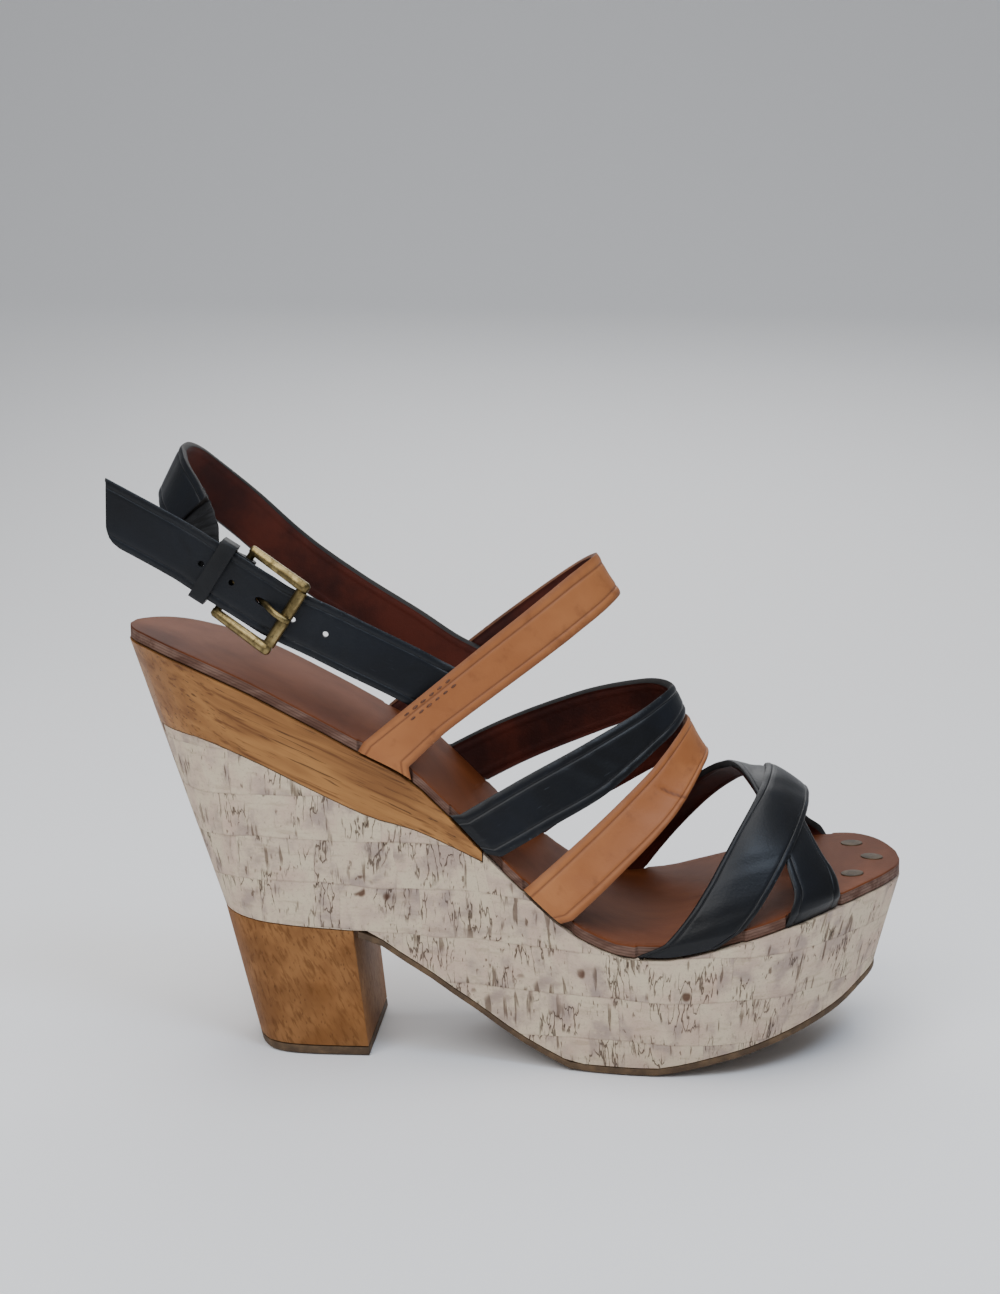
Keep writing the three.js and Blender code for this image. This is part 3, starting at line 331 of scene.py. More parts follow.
def strap_leather(name, deep, mid, light, rough, gloss, scratch, scratch_share):
    finish = Finish(name, Specular_IOR_Level=gloss)
    place = finish.place()
    along = finish.unwrapped()
    edge = finish.attribute("edge")
    cloud = finish.noise(place, 28, 4, 0.55, 0.4)
    patch = finish.noise(along, 150, 4, 0.6)
    pores = finish.cells(place, 1500)
    grain = finish.noise(place, 900, 4, 0.65)
    wrinkle = finish.noise(along, 420, 4, 0.6, 0.5, stretch=(1, 0.22, 1))
    # The pressed line sinks in the mesh and the bump, and its colour is darkened too: painted shade in the
    # groove
    line = abs(edge - LINE_IN).rise(LINE_HALF, 0.0)
    rim = edge.rise(1.4, 0.0)
    # Painted shade: the creases are darkened by the depth that the mesh stores for them
    crease_shade = finish.attribute("crease_shade")
    scratches = finish.noise(finish.turned(along, (0, 0, 14), (0.16, 3.4, 1)), 520, 3, 0.6, 0.3)
    where = finish.noise(place, 46, 2).rise(0.46, 0.66)
    thin = scratches.rise(0.66, 0.74) * where
    rubbed = finish.noise(along, 900, 2).rise(0.62, 0.8) * rim
    colour = finish.stack(
        finish.mix(cloud.rise(0.32, 0.68), mid, light),
        (patch.rise(0.52, 0.8) * 0.55, deep),
        # Painted shade in the pressed line
        (line * 0.6, deep),
        (rim * 0.5, deep),
        # Painted shade in the creases
        (crease_shade.rise(0.3, 1.0) * 0.8, deep),
        (thin * scratch_share, scratch),
        (rubbed * scratch_share, scratch),
    )
    roughness = cloud * 0.12 + patch * 0.1 + thin * 0.15 + (rough - 0.1)
    height = grain * 0.35 + pores * 0.25 + wrinkle * 0.5 - line * 1.6
    return finish.wear(colour, roughness, height, 0.00011, 0.7)


tan_leather = strap_leather(
    "tan_cowhide", (98, 54, 28), (148, 90, 50), (168, 108, 64), 0.5, 0.3,
    (196, 148, 104), 0.25,
)
black_leather = strap_leather(
    "black_cowhide", (7, 8, 10), (13, 14, 17), (17, 21, 28), 0.38, 0.3,
    (96, 104, 114), 0.4,
)


# %% Lining and cut edges
def plain_leather(name, dark, light, rough):
    finish = Finish(name, Specular_IOR_Level=0.3)
    place = finish.place()
    cloud = finish.noise(place, 60, 4, 0.6)
    nap = finish.noise(place, 1300, 3, 0.7)
    colour = finish.mix(cloud.rise(0.3, 0.7), dark, light)
    roughness = cloud * 0.15 + (rough - 0.07)
    return finish.wear(colour, roughness, nap, 0.00008, 0.6)


lining = plain_leather("red_brown_lining", (50, 18, 13), (84, 34, 22), 0.65)
tan_edge = plain_leather("tan_cut_edge", (84, 48, 26), (118, 72, 42), 0.6)
black_edge = plain_leather("black_cut_edge", (12, 11, 12), (30, 26, 24), 0.6)

# %% [markdown]
# ## The shape that the straps wrap
# On the bench, each strap is pulled over a last, the solid form of a foot, and its ends are tucked into
# the sole. The same is done here: a few short tables give the outline and height of the footbed and the
# ridge of the last over it, as shares of the shoe's own sizes, and smooth curves run through them. A
# strap is then a flat grid whose points are laid on that form.

# %% Sizes and tables of the last
FOOTBED_LENGTH = 220.0
HEEL_OVERHANG = 52.0
HALF_BALL = 41.0
SEAT_HEIGHT = 120.5
BALL_HEIGHT = 39.3
TOE_RISE = 11.6
FOOTBED_THICKNESS = 3.4
INSTEP_RISE = 42.0
LAST_INSET = 1.3
TUCK = 0.2
STRAP_REACH = 1 + TUCK
STRAP_THICKNESS = 2.0
GAP = 0.3
STRAP_END_GAP = 0.5
FOOTBED = [  # at, middle, half, climb, spring
    (0, 0, 0, 1, 0), (0.03, 0, 0.385, 0.988, 0), (0.086, 0, 0.595, 0.945, 0), (0.15, 0, 0.68, 0.878, 0),
    (0.25, 0, 0.695, 0.742, 0), (0.31, -0.015, 0.688, 0.655, 0), (0.373, -0.03, 0.675, 0.563, 0),
    (0.421, -0.045, 0.68, 0.446, 0), (0.471, -0.055, 0.7, 0.308, 0), (0.514, -0.055, 0.73, 0.197, 0),
    (0.568, -0.05, 0.8, 0.076, 0), (0.605, -0.045, 0.86, 0.025, 0), (0.645, -0.03, 0.93, 0, 0),
    (0.69, -0.01, 0.985, 0, 0.02), (0.74, 0.01, 1, 0, 0.205), (0.795, 0.04, 0.985, 0, 0.47),
    (0.845, 0.085, 0.925, 0, 0.718), (0.9, 0.18, 0.8, 0, 0.93), (0.955, 0.34, 0.6, 0, 1),
    (0.982, 0.4, 0.4, 0, 0.98), (1, 0.41, 0, 0, 0.93),
]
LAST = [  # at, forward, rise, taper, inward
    (0.127, 0.38, 2, 0.1, 0), (0.264, 0.3, 1.33, 0.16, 0.04), (0.336, 0.273, 1.01, 0.2, 0.07),
    (0.445, 0.236, 0.835, 0.2, 0.16), (0.536, 0.186, 0.86, 0.18, 0.14), (0.627, 0.136, 0.925, 0.14, 0.1),
    (0.718, 0.095, 0.845, 0.1, 0.09), (0.809, 0.057, 0.56, 0.08, 0.07), (0.877, 0.027, 0.26, 0.06, 0.05),
    (0.936, 0.005, 0.09, 0.05, 0.03), (0.982, 0, 0.03, 0.05, 0),
]
INSTEP_STRAP = [  # round, back, front, lift
    (-1.2, 0.322, 0.386, 0), (-1, 0.317, 0.373, 0.05), (-0.85, 0.313, 0.364, 0.78),
    (-0.6, 0.309, 0.361, 0.84), (-0.3, 0.308, 0.359, 0.25), (0, 0.309, 0.357, 0.1),
    (0.3, 0.308, 0.359, 0.25), (0.6, 0.309, 0.361, 0.84), (0.85, 0.313, 0.364, 0.78),
    (1, 0.317, 0.373, 0.05), (1.2, 0.322, 0.386, 0),
]
REAR_VAMP_STRAP = [  # round, back, front, lift
    (-1.2, 0.432, 0.478, 0), (-0.85, 0.44, 0.494, 0.1), (-0.6, 0.45, 0.506, 0.1),
    (-0.3, 0.459, 0.506, 0.1), (0, 0.461, 0.499, 0.1), (0.3, 0.445, 0.49, 0.1), (0.6, 0.423, 0.473, 0.1),
    (0.9, 0.405, 0.455, 0.1), (1.2, 0.395, 0.445, 0),
]
FRONT_VAMP_STRAP = [  # round, back, front, lift
    (-1.2, 0.523, 0.57, 0), (-0.8, 0.523, 0.583, 0.1), (-0.5, 0.521, 0.592, 0.1),
    (-0.2, 0.511, 0.58, 0.1), (0, 0.506, 0.574, 0.1), (0.3, 0.498, 0.561, 0.1), (0.6, 0.486, 0.548, 0.1),
    (0.9, 0.477, 0.533, 0.1), (1.2, 0.473, 0.527, 0),
]
TOE_STRAP_OVER = [  # round, back, front, lift
    (-1.2, 0.666, 0.761, 0), (-0.85, 0.698, 0.793, 0.15), (-0.55, 0.707, 0.801, 0.8),
    (-0.28, 0.72, 0.804, 0.92), (0, 0.725, 0.807, 0.85), (0.3, 0.739, 0.823, 0.3),
    (0.6, 0.773, 0.859, 0.1), (0.9, 0.823, 0.905, 0.1), (1.2, 0.845, 0.927, 0),
]
TOE_STRAP_UNDER = [  # round, back, front, lift
    (-1.2, 0.839, 0.902, 0), (-0.88, 0.832, 0.893, 0.1), (-0.65, 0.802, 0.876, 0.1),
    (-0.36, 0.736, 0.816, 0.1), (0, 0.659, 0.741, 0.1), (0.3, 0.63, 0.709, 0.1),
    (0.6, 0.614, 0.686, 0.1), (0.9, 0.605, 0.673, 0.1), (1.2, 0.6, 0.668, 0),
]
QUARTER_START = [  # reach, side, up, lean, thick
    (0.99, -0.8, 0.851, 10, 0.67), (0.897, -0.812, 0.884, 9, 0.67), (0.815, -0.85, 0.917, 8, 1),
    (0.672, -0.925, 0.971, 5, 1), (0.56, -0.962, 1.013, 3, 1),
]
BACK_STRAP = [  # reach, side, up, lean, thick
    (0.119, -0.68, 1.286, 27, 1), (0.071, -0.48, 1.328, 28, 1), (0.04, -0.2, 1.357, 28, 1),
    (0.035, 0.08, 1.364, 28, 1), (0.052, 0.367, 1.35, 25, 1), (0.1, 0.633, 1.308, 19, 1),
    (0.198, 0.843, 1.238, 13, 1), (0.36, 0.943, 1.13, 8, 1), (0.549, 0.95, 1.034, 5, 1),
    (0.758, 0.885, 0.945, 4, 0.9), (0.897, 0.822, 0.884, 4, 0.55), (0.99, 0.791, 0.851, 4, 0.55),
]


def smooth(rows, key, column):
    """A curve through one column of a table that never swings past its rows."""
    x = [row[key] for row in rows]
    y = [row[column] for row in rows]
    steps = len(x) - 1
    slope = [(y[i + 1] - y[i]) / (x[i + 1] - x[i]) for i in range(steps)]
    bend = [slope[0]]
    for i in range(1, steps):
        a, b = x[i] - x[i - 1], x[i + 1] - x[i]
        flat = slope[i - 1] * slope[i] <= 0
        bend.append(0 if flat else 3 * (a + b) / ((2 * b + a) / slope[i - 1] + (b + 2 * a) / slope[i]))
    bend.append(slope[-1])

    def read(at):
        here = min(max(at, x[0]), x[-1])
        i = 0
        while i < steps - 1 and here > x[i + 1]:
            i += 1
        w = x[i + 1] - x[i]
        t = (here - x[i]) / w
        s = 1 - t
        ends = y[i] * (1 + 2 * t) * s * s + y[i + 1] * (3 - 2 * t) * t * t
        return ends + w * t * s * (bend[i] * s - bend[i + 1] * t)

    return read


# %% Footbed and last
def turn(at):
    return math.acos(1 - 2 * min(max(at, 0), 1)) / math.pi


by_turn = [(turn(row[0]), *row[1:]) for row in FOOTBED]
bed_middle = smooth(by_turn, 0, 1)
bed_half = smooth(by_turn, 0, 2)
climb = smooth(FOOTBED, 0, 3)
spring = smooth(FOOTBED, 0, 4)
forward, ridge, taper, inward = (smooth(LAST, 0, column) for column in (1, 2, 3, 4))


def bed_x(at):
    return at * FOOTBED_LENGTH - HEEL_OVERHANG


def bed_edge(at, side):
    return (bed_middle(turn(at)) + side * bed_half(turn(at))) * HALF_BALL


def bed_top(x):
    at = (x + HEEL_OVERHANG) / FOOTBED_LENGTH
    return BALL_HEIGHT + (SEAT_HEIGHT - BALL_HEIGHT) * climb(at) + TOE_RISE * spring(at)


def rim_depth(foot, down):
    depth = FOOTBED_THICKNESS
    for _ in range(12):
        low = bed_top(foot[0] - down[0] * depth) - FOOTBED_THICKNESS - GAP + STRAP_END_GAP
        depth += 0.6 * (foot[2] - down[2] * depth - low)
    return depth


def last_skin(at, about):
    """A point of the last: about is -1 at the outer edge of the footbed, 0 on the ridge, 1 at the inner
    edge, and past 1 by up to TUCK where a strap's end runs down the rim."""
    outer, inner = bed_edge(at, -1) + LAST_INSET, bed_edge(at, 1) - LAST_INSET
    half = (inner - outer) / 2
    up = math.sin((1 - min(abs(about), 1)) * math.pi / 2)
    side = math.copysign(half * math.sqrt(max(0.0, 1 - up * up)) * (1 - taper(at) * up), about)
    foot = np.array([bed_x(at), (inner + outer) / 2, bed_top(bed_x(at))])
    lean = np.array([forward(at) * FOOTBED_LENGTH, 0, ridge(at) * INSTEP_RISE])
    point = foot + lean * up
    point[1] += side + inward(at) * HALF_BALL * up
    if abs(about) > 1:
        down = lean / np.linalg.norm(lean)
        point -= down * (abs(about) - 1) / TUCK * rim_depth(foot, down)
    return point


def last_out(at, about):
    step = 0.004
    along = last_skin(at + step, about) - last_skin(at - step, about)
    near = math.copysign(min(abs(about), 0.995), about)
    around = last_skin(at, near + step) - last_skin(at, near - step)
    out = np.cross(along, around)
    return out / np.linalg.norm(out)


print("ball breadth", round(bed_edge(0.74, 1) - bed_edge(0.74, -1), 1), "mm")

# %% [markdown]
# ## Laying a strap
# A strap starts as a flat grid, as leather starts as a flat piece. Its points are moved on to the form,
# and three things are pressed in while they move: the line inside each folded edge, the slight drop of
# the edge itself, and the creases that walking makes. Solidify then gives the leather its thickness, with
# the lining on the inner face, and a small bevel rounds the cut edges.

# %% Strap helpers
LINE_DEPTH = 0.16
EDGE_DROP = 0.35
LINE_SOFT = 0.45
EDGE_SOFT = 1.3
DEEPEST_CREASE = 0.42
CREASE_END = 0.12
STRAP_ROUND = 0.45


def only(thing):
    """Deselects everything and makes one object the active, selected one."""
    bpy.ops.object.select_all(action="DESELECT")
    thing.hide_set(False)
    thing.select_set(True)
    bpy.context.view_layer.objects.active = thing


def apply_modifier(thing, kind, **settings):
    only(thing)
    bpy.ops.object.modifier_add(type=kind)
    modifier = thing.modifiers[-1]
    for key, value in settings.items():
        setattr(modifier, key, value)
    bpy.ops.object.modifier_apply(modifier=modifier.name)


def bevel(thing, width, turn, segments=2, **settings):
    """Rounds the edges that turn by more than so many degrees, to a width in millimetres."""
    apply_modifier(
        thing, "BEVEL", width=width * MM, segments=segments, limit_method="ANGLE",
        angle_limit=math.radians(turn), **settings,
    )


def pressed(from_edge, length_at, across_share, creases):
    """How far the outer face sinks at a place of a strap, in millimetres, and its crease's painted shade.
    """
    dark = 0.0
    sink = LINE_DEPTH * math.exp(-(((from_edge - LINE_IN) / LINE_SOFT) ** 2))
    sink += EDGE_DROP * max(0.0, 1 - from_edge / EDGE_SOFT) ** 2
    for at, slant, half, depth, *span in creases:
        off = (length_at - at - slant * (across_share - 0.5)) / half
        if span:
            inside = min(across_share - span[0], span[1] - across_share) / CREASE_END
            depth *= min(max(inside, 0), 1)
        sink += depth * (math.exp(-off * off) - 0.45 * math.exp(-((abs(off) - 1.9) ** 2)))
        # Painted shade: the crease's colour is darkened as deeply as it is pressed
        dark = max(dark, depth / DEEPEST_CREASE * math.exp(-off * off))
    return sink, dark


def lay_strap(name, lie, along, across, materials, slot, thickness, creases=(), even=True):
    """lie(t, s) gives the place in mm, the direction out and the strap's width there."""
    bpy.ops.object.select_all(action="DESELECT")
    bpy.ops.mesh.primitive_grid_add(x_subdivisions=along, y_subdivisions=across, size=1)
    strap = bpy.context.object
    strap.name = strap.data.name = name
    mesh = strap.data
    edges = mesh.attributes.new("edge", "FLOAT", "POINT")
    # Each point also stores the painted shade of its crease
    dark = mesh.attributes.new("crease_shade", "FLOAT", "POINT")
    flat = {}
    rows = sorted({round(v.co.x, 5) for v in mesh.vertices})
    length, last = {}, None
    for row in rows:
        here = lie(row + 0.5, 0.5)[0]
        length[row] = 0.0 if last is None else length[last[0]] + float(np.linalg.norm(here - last[1]))
        last = (row, here)
    for i, vertex in enumerate(mesh.vertices):
        t, s = vertex.co.x + 0.5, vertex.co.y + 0.5
        row = round(vertex.co.x, 5)
        place, out, width = lie(t, s)
        from_edge = min(s, 1 - s) * width
        sink, dark.data[i].value = pressed(from_edge, length[row], s, creases)
        place = place - out * sink
        edges.data[i].value = from_edge
        flat[i] = (length[row] * MM, s * width * MM)
        vertex.co = Vector(place) * MM
    for loop in mesh.loops:
        mesh.uv_layers.active.data[loop.index].uv = flat[loop.vertex_index]
    mesh.update()
    middle, out, _ = lie(0.5, 0.5)
    nearest = min(mesh.polygons, key=lambda p: (p.center - Vector(middle) * MM).length)
    if nearest.normal.dot(Vector(out)) < 0:
        only(strap)
        mode("EDIT")
        bpy.ops.mesh.select_all(action="SELECT")
        bpy.ops.mesh.flip_normals()
        mode("OBJECT")
    for material in materials:
        mesh.materials.append(material)
    apply_modifier(
        strap, "SOLIDIFY", thickness=thickness * MM, offset=-1, use_even_offset=even,
        material_offset=1, material_offset_rim=2,
    )
    bevel(strap, STRAP_ROUND, 55)
    bpy.ops.object.shade_smooth_by_angle(angle=math.radians(50))
    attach(strap, "root")
    print(name, "length", round(length[rows[-1]], 1), "mm,", len(mesh.polygons), "faces")
    return strap


def over_last(rows):
    """The lie of a strap over the last, from its table."""
    back_edge, front_edge, lift = (smooth(rows, 0, column) for column in (1, 2, 3))

    def lie(t, s):
        about = -STRAP_REACH + 2 * STRAP_REACH * t
        a, b = back_edge(about), front_edge(about)
        at = a + (b - a) * s
        out = last_out(at, about)
        height = GAP + (lift(about) + 1) * STRAP_THICKNESS
        return last_skin(at, about) + out * height, out, (b - a) * FOOTBED_LENGTH

    return lie


# %% [markdown]
# ## The straps over the foot
# A tan strap crosses the instep, a black and a tan one cross the forefoot, and two black ones cross each
# other at the toes. The creases are where a foot bends them: a few across the instep strap near its outer
# foot, and long shallow ones over the joint of the big toe. Each row of a crease table gives its place
# along the strap, its slant across it, its half width and its depth, all in millimetres. A short crease
# also gives the shares of the width between which it runs.

# %% Straps over the last
TAN = (tan_leather, lining, tan_edge)
BLACK = (black_leather, lining, black_edge)
INSTEP_CREASES = (
    (22, 6, 1.5, 0.16), (31, -4, 2.2, 0.14), (52, 8, 3.0, 0.12), (70, -6, 4, 0.15), (98, 5, 3, 0.12),
)
REAR_CREASES = (
    (12, 5, 1.8, 0.16), (38, 9, 2.6, 0.18), (44, 10, 2.0, 0.14), (63, -7, 3.0, 0.14), (85, 4, 3, 0.1),
)
FRONT_CREASES = (
    (14, 4, 2.0, 0.12), (40, 8, 2.4, 0.14), (48.2, 5.8, 0.75, 0.42, 0.26, 1.1), (59, 12, 1.4, 0.14),
    (84, -5, 3, 0.1),
)
OVER_CREASES = ((16, 6, 2.4, 0.09), (33, 8, 2.2, 0.09), (66, 6, 2.5, 0.1))
UNDER_CREASES = ((10, -5, 2.2, 0.1), (52, 6, 3.0, 0.1), (70, 6, 2.5, 0.1))
STRAPS = (
    ("instep_band", "instep_strap", INSTEP_STRAP, TAN, "tan_leather", INSTEP_CREASES),
    ("rear_vamp_band", "rear_vamp_strap", REAR_VAMP_STRAP, BLACK, "black_leather", REAR_CREASES),
    ("front_vamp_band", "front_vamp_strap", FRONT_VAMP_STRAP, TAN, "tan_leather", FRONT_CREASES),
    ("toe_band_over", "toe_cross_straps", TOE_STRAP_OVER, BLACK, "black_leather", OVER_CREASES),
    ("toe_band_under", "toe_cross_straps", TOE_STRAP_UNDER, BLACK, "black_leather", UNDER_CREASES),
)
ALONG, ACROSS = 190, 30
for name, node, rows, leathers, slot, creases in STRAPS:
    band = lay_strap(name, over_last(rows), ALONG, ACROSS, leathers, slot, STRAP_THICKNESS, creases)
    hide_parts(node)

# %% [markdown]
# ## The ankle straps
# The quarter strap runs from under the instep strap through the buckle to its free tip, and the back
# strap goes round the heel of the foot. Both follow a smooth line through a few fixed places, and lean in
# to the ankle as leather does. The free tip is cut on a slant with one round corner.

# %% Lines through the ankle's places
ANKLE_LENGTH = 86.0
ANKLE_BACK = 41.0
ANKLE_HALF_BREADTH = 30.0
ANKLE_STRAP_WIDTH = 15.0
BILLET_THICKNESS = 1.8
BUCKLE_SEAT = (0.368, -0.983, 1.084)
BILLET_FALL = math.radians(33)
BILLET_FLARE = math.radians(3)
TIP_CUT = -47.0
TIP_SLANT = math.tan(math.radians(28))
TIP_ROUND = 4.0
ANKLE_ALONG = 150
LINE_STEPS = 500


def ankle_point(reach, side, up):
    return np.array([reach * ANKLE_LENGTH - ANKLE_BACK, side * ANKLE_HALF_BREADTH, up * SEAT_HEIGHT])


def unit(vector):
    return vector / np.linalg.norm(vector)


ahead = unit(np.array([math.cos(BILLET_FALL), math.tan(BILLET_FLARE), -math.sin(BILLET_FALL)]))
outward = -unit(np.cross([0, 0, 1], ahead))
downward = np.cross(ahead, outward)
seat = ankle_point(*BUCKLE_SEAT)


def line_through(points):
    """A smooth line through points whose pace follows the distances between them."""
    points = [np.array(p, float) for p in points]
    points = [2 * points[0] - points[1], *points, 2 * points[-1] - points[-2]]

    def read(t):
        spans = len(points) - 3
        i = min(int(t * spans), spans - 1)
        w = t * spans - i
        p = points[i:i + 4]
        pace = [max(float(np.linalg.norm(p[k + 1] - p[k])) ** 0.5, 1e-4) for k in range(3)]
        first, second = (
            (b - a) / before - (c - a) / (before + after) + (c - b) / after
            for a, b, c, before, after in ((*p[:3], *pace[:2]), (*p[1:], *pace[1:]))
        )
        first, second = first * pace[1], second * pace[1]
        a = 2 * p[1] - 2 * p[2] + first + second
        b = -3 * p[1] + 3 * p[2] - 2 * first - second
        return p[1] + first * w + b * w * w + a * w ** 3

    return read


def round_ankle(rows, width, thickness, end_at=None):
    """The lie of an ankle strap. rows hold a point, a lean in degrees and a share of the thickness."""
    line = line_through([row[0] for row in rows])
    knots = [i / (len(rows) - 1) for i in range(len(rows))]
    lean = smooth(list(zip(knots, [row[1] for row in rows])), 0, 1)
    thick = smooth(list(zip(knots, [row[2] for row in rows])), 0, 1)
    ts = np.linspace(0, 1, LINE_STEPS)
    places = np.array([line(t) for t in ts])
    run = np.concatenate([[0], np.cumsum(np.linalg.norm(np.diff(places, axis=0), axis=1))])
    middle = np.array([0.5 * ANKLE_LENGTH - ANKLE_BACK, 0, SEAT_HEIGHT])

    def lie(t, s):
        end = run[-1] if end_at is None else end_at(s * width, run, places)
        at = float(np.interp(t * end, run, ts))
        point = line(at)
        tangent = unit(line(min(at + 1e-3, 1)) - line(max(at - 1e-3, 0)))
        out = unit(np.array([tangent[1], -tangent[0], 0]))
        if out @ (point - middle) < 0:
            out = -out
        up = unit(np.cross(tangent, out))
        if up[2] < 0:
            up = -up
        tip = math.radians(lean(at))
        reach = up * math.cos(tip) - out * math.sin(tip)
        face = out * math.cos(tip) + up * math.sin(tip)
        return point + reach * (s - 0.5) * width + face * thickness * thick(at) / 2, face, width

    return lie


# %% Quarter strap with its slanted tip
def tip_end(from_lower, run, places):
    down = ANKLE_STRAP_WIDTH / 2 - from_lower
    cut = TIP_CUT + TIP_SLANT * down
    if from_lower < TIP_ROUND:
        cut += TIP_ROUND - math.sqrt(TIP_ROUND ** 2 - (TIP_ROUND - from_lower) ** 2)
    past = (places - seat) @ ahead
    return float(np.interp(-cut, -past, run))


quarter_rows = [(ankle_point(*row[:3]), *row[3:]) for row in QUARTER_START]
quarter_rows += [(seat + ahead * step, 0.0, 1.0) for step in (5, 0, -8, -16, -25)]
quarter_rows.append((ankle_point(-0.165, -1.17, 1.318), 0.0, 1.0))
quarter_lie = round_ankle(quarter_rows, ANKLE_STRAP_WIDTH, BILLET_THICKNESS, tip_end)
QUARTER_CREASES = (
    (36, 3, 1.6, 0.1), (43, -3, 1.4, 0.14), (58, 2, 1.6, 0.12), (72, 4, 2.0, 0.1), (88, -4, 2.5, 0.1),
)
quarter_band = lay_strap(
    "quarter_band", quarter_lie, ANKLE_ALONG, ACROSS, BLACK, "black_leather", BILLET_THICKNESS,
    QUARTER_CREASES,
)

# %% [markdown]
# Five holes run down the quarter strap, one pulled long by the prong. They are cut as a punch cuts them:
# a round cutter goes right through the finished strap. The cutters are removed afterwards.

# %% Punch the holes
HOLE_AHEAD = 0.65
HOLE_SPACING = 9.5
HOLES = ((-2, 0, 0.8, 1.0), (-1, 0, 0.8, 1.0), (0, 0, 0.9, 2.2), (1, 0.4, 0.8, 1.0), (2, 1.8, 0.8, 1.0))
PUNCH_DEPTH, PUNCH_SIDES = 8, 20
along_axis, out_axis, down_axis = Vector(ahead), Vector(outward), Vector(downward)
for step, raised, radius, stretch in HOLES:
    bpy.ops.object.select_all(action="DESELECT")
    centre = seat + ahead * (HOLE_AHEAD + step * HOLE_SPACING) - downward * raised
    bpy.ops.mesh.primitive_cylinder_add(
        vertices=PUNCH_SIDES, radius=radius * MM, depth=PUNCH_DEPTH * MM, location=Vector(centre) * MM,
        rotation=out_axis.to_track_quat("Z", "X").to_euler(),
    )
    punch = bpy.context.object
    for vertex in punch.data.vertices:
        off = vertex.co.copy()
        off.rotate(punch.rotation_euler)
        length = off.dot(along_axis) * stretch
        place = along_axis * length + out_axis * off.dot(out_axis) + down_axis * off.dot(down_axis)
        vertex.co = place + Vector(centre) * MM
    punch.location = (0, 0, 0)
    punch.rotation_euler = (0, 0, 0)
    bpy.context.view_layer.update()
    apply_modifier(quarter_band, "BOOLEAN", object=punch, operation="DIFFERENCE", solver="EXACT")
    bpy.data.objects.remove(punch)
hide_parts("quarter_strap")
print("holes", len(HOLES), "in", quarter_band.name, len(quarter_band.data.polygons), "faces")

# %% Back strap
BACK_CREASES = ((18, 3, 2.0, 0.1), (30, -4, 2.5, 0.14), (52, 4, 3.0, 0.12), (90, -4, 3.0, 0.1))
BACK_STRAP_LAP = (1.45, -1.8, -2.2)
back_rows = [(ankle_point(*row[:3]), *row[3:]) for row in BACK_STRAP]
back_rows.insert(0, (back_rows[0][0] + BACK_STRAP_LAP, 25.0, 1.0))
back_lie = round_ankle(back_rows, ANKLE_STRAP_WIDTH, STRAP_THICKNESS)
back_band = lay_strap(
    "back_band", back_lie, ANKLE_ALONG, ACROSS, BLACK, "black_leather", STRAP_THICKNESS, BACK_CREASES
)
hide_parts("back_strap")

# %% [markdown]
# ## Stitches
# The quarter strap is sewn under the instep strap with a narrow box of brown thread. A stitch is a short
# rounded bead that dips into the leather at both ends. One is made from a small sphere, pulled long, and
# copied along the box; the copies are joined into one piece.

# %% Thread
thread_finish = Finish("waxed_thread", Roughness=0.6)
twist = thread_finish.noise(thread_finish.place(), 2400, 2)
thread_colour = thread_finish.mix(twist.rise(0.35, 0.65), (70, 38, 20), (112, 66, 38))
thread = thread_finish.wear(thread_colour, None, twist)


def sew(name, spots, length, radius):
    """One piece of stitches; spots are (place, direction along the seam, direction out), in mm."""
    made = []
    for place, run, out in spots:
        bpy.ops.object.select_all(action="DESELECT")
        bpy.ops.mesh.primitive_uv_sphere_add(segments=8, ring_count=6, radius=1)
        stitch = bpy.context.object
        z, x = Vector(out), Vector(run)
        y = z.cross(x).normalized()
        for vertex in stitch.data.vertices:
            bead = vertex.co.copy()
            high = bead.z * 0.8 + (1 - 0.8 * bead.x ** 2) * 0.5 - 0.35
            spot = x * bead.x * length / 2 + y * bead.y * radius + z * high * radius
            vertex.co = (Vector(place) + spot) * MM
        made.append(stitch)
    bpy.ops.object.select_all(action="DESELECT")
    for stitch in made:
        stitch.select_set(True)
    bpy.context.view_layer.objects.active = made[0]
    bpy.ops.object.join()
    seam = bpy.context.object
    seam.name = seam.data.name = name
    seam.data.materials.append(thread)
    bpy.ops.object.shade_smooth()
    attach(seam, "root")
    print(name, len(made), "stitches")


def spots_on(rows, stations):
    """Places of stitches on a strap over the last; stations are (about, share across)."""
    lie = over_last(rows)
    places = [lie((about + STRAP_REACH) / (2 * STRAP_REACH), share) for about, share in stations]
    spots = []
    for i, (place, out, _) in enumerate(places):
        before, after = places[max(i - 1, 0)][0], places[min(i + 1, len(places) - 1)][0]
        spots.append((place - out * 0.1, unit(after - before), out))
    return spots


BOX_START, BOX_END, BOX_STITCHES = -0.885, -0.765, 6
BOX_ROWS = (0.12, 0.28)
steps = [BOX_START + (BOX_END - BOX_START) * i / (BOX_STITCHES - 1) for i in range(BOX_STITCHES)]
instep_spots = []
for share in BOX_ROWS:
    instep_spots += spots_on(INSTEP_STRAP, [(about, share) for about in steps])
sew("instep_stitches", instep_spots, 2.1, 0.36)

# %% [markdown]
# ## Cork
# The platform is covered with a thin sheet of cork. It is pale cream with a rosy tint, and made of
# staggered blocks, each crossed by short upright cracks and dark flecks. To run the pattern round the toe
# without smearing it, the cover gets a map whose first direction follows the outline of the shoe and
# whose second is the height.

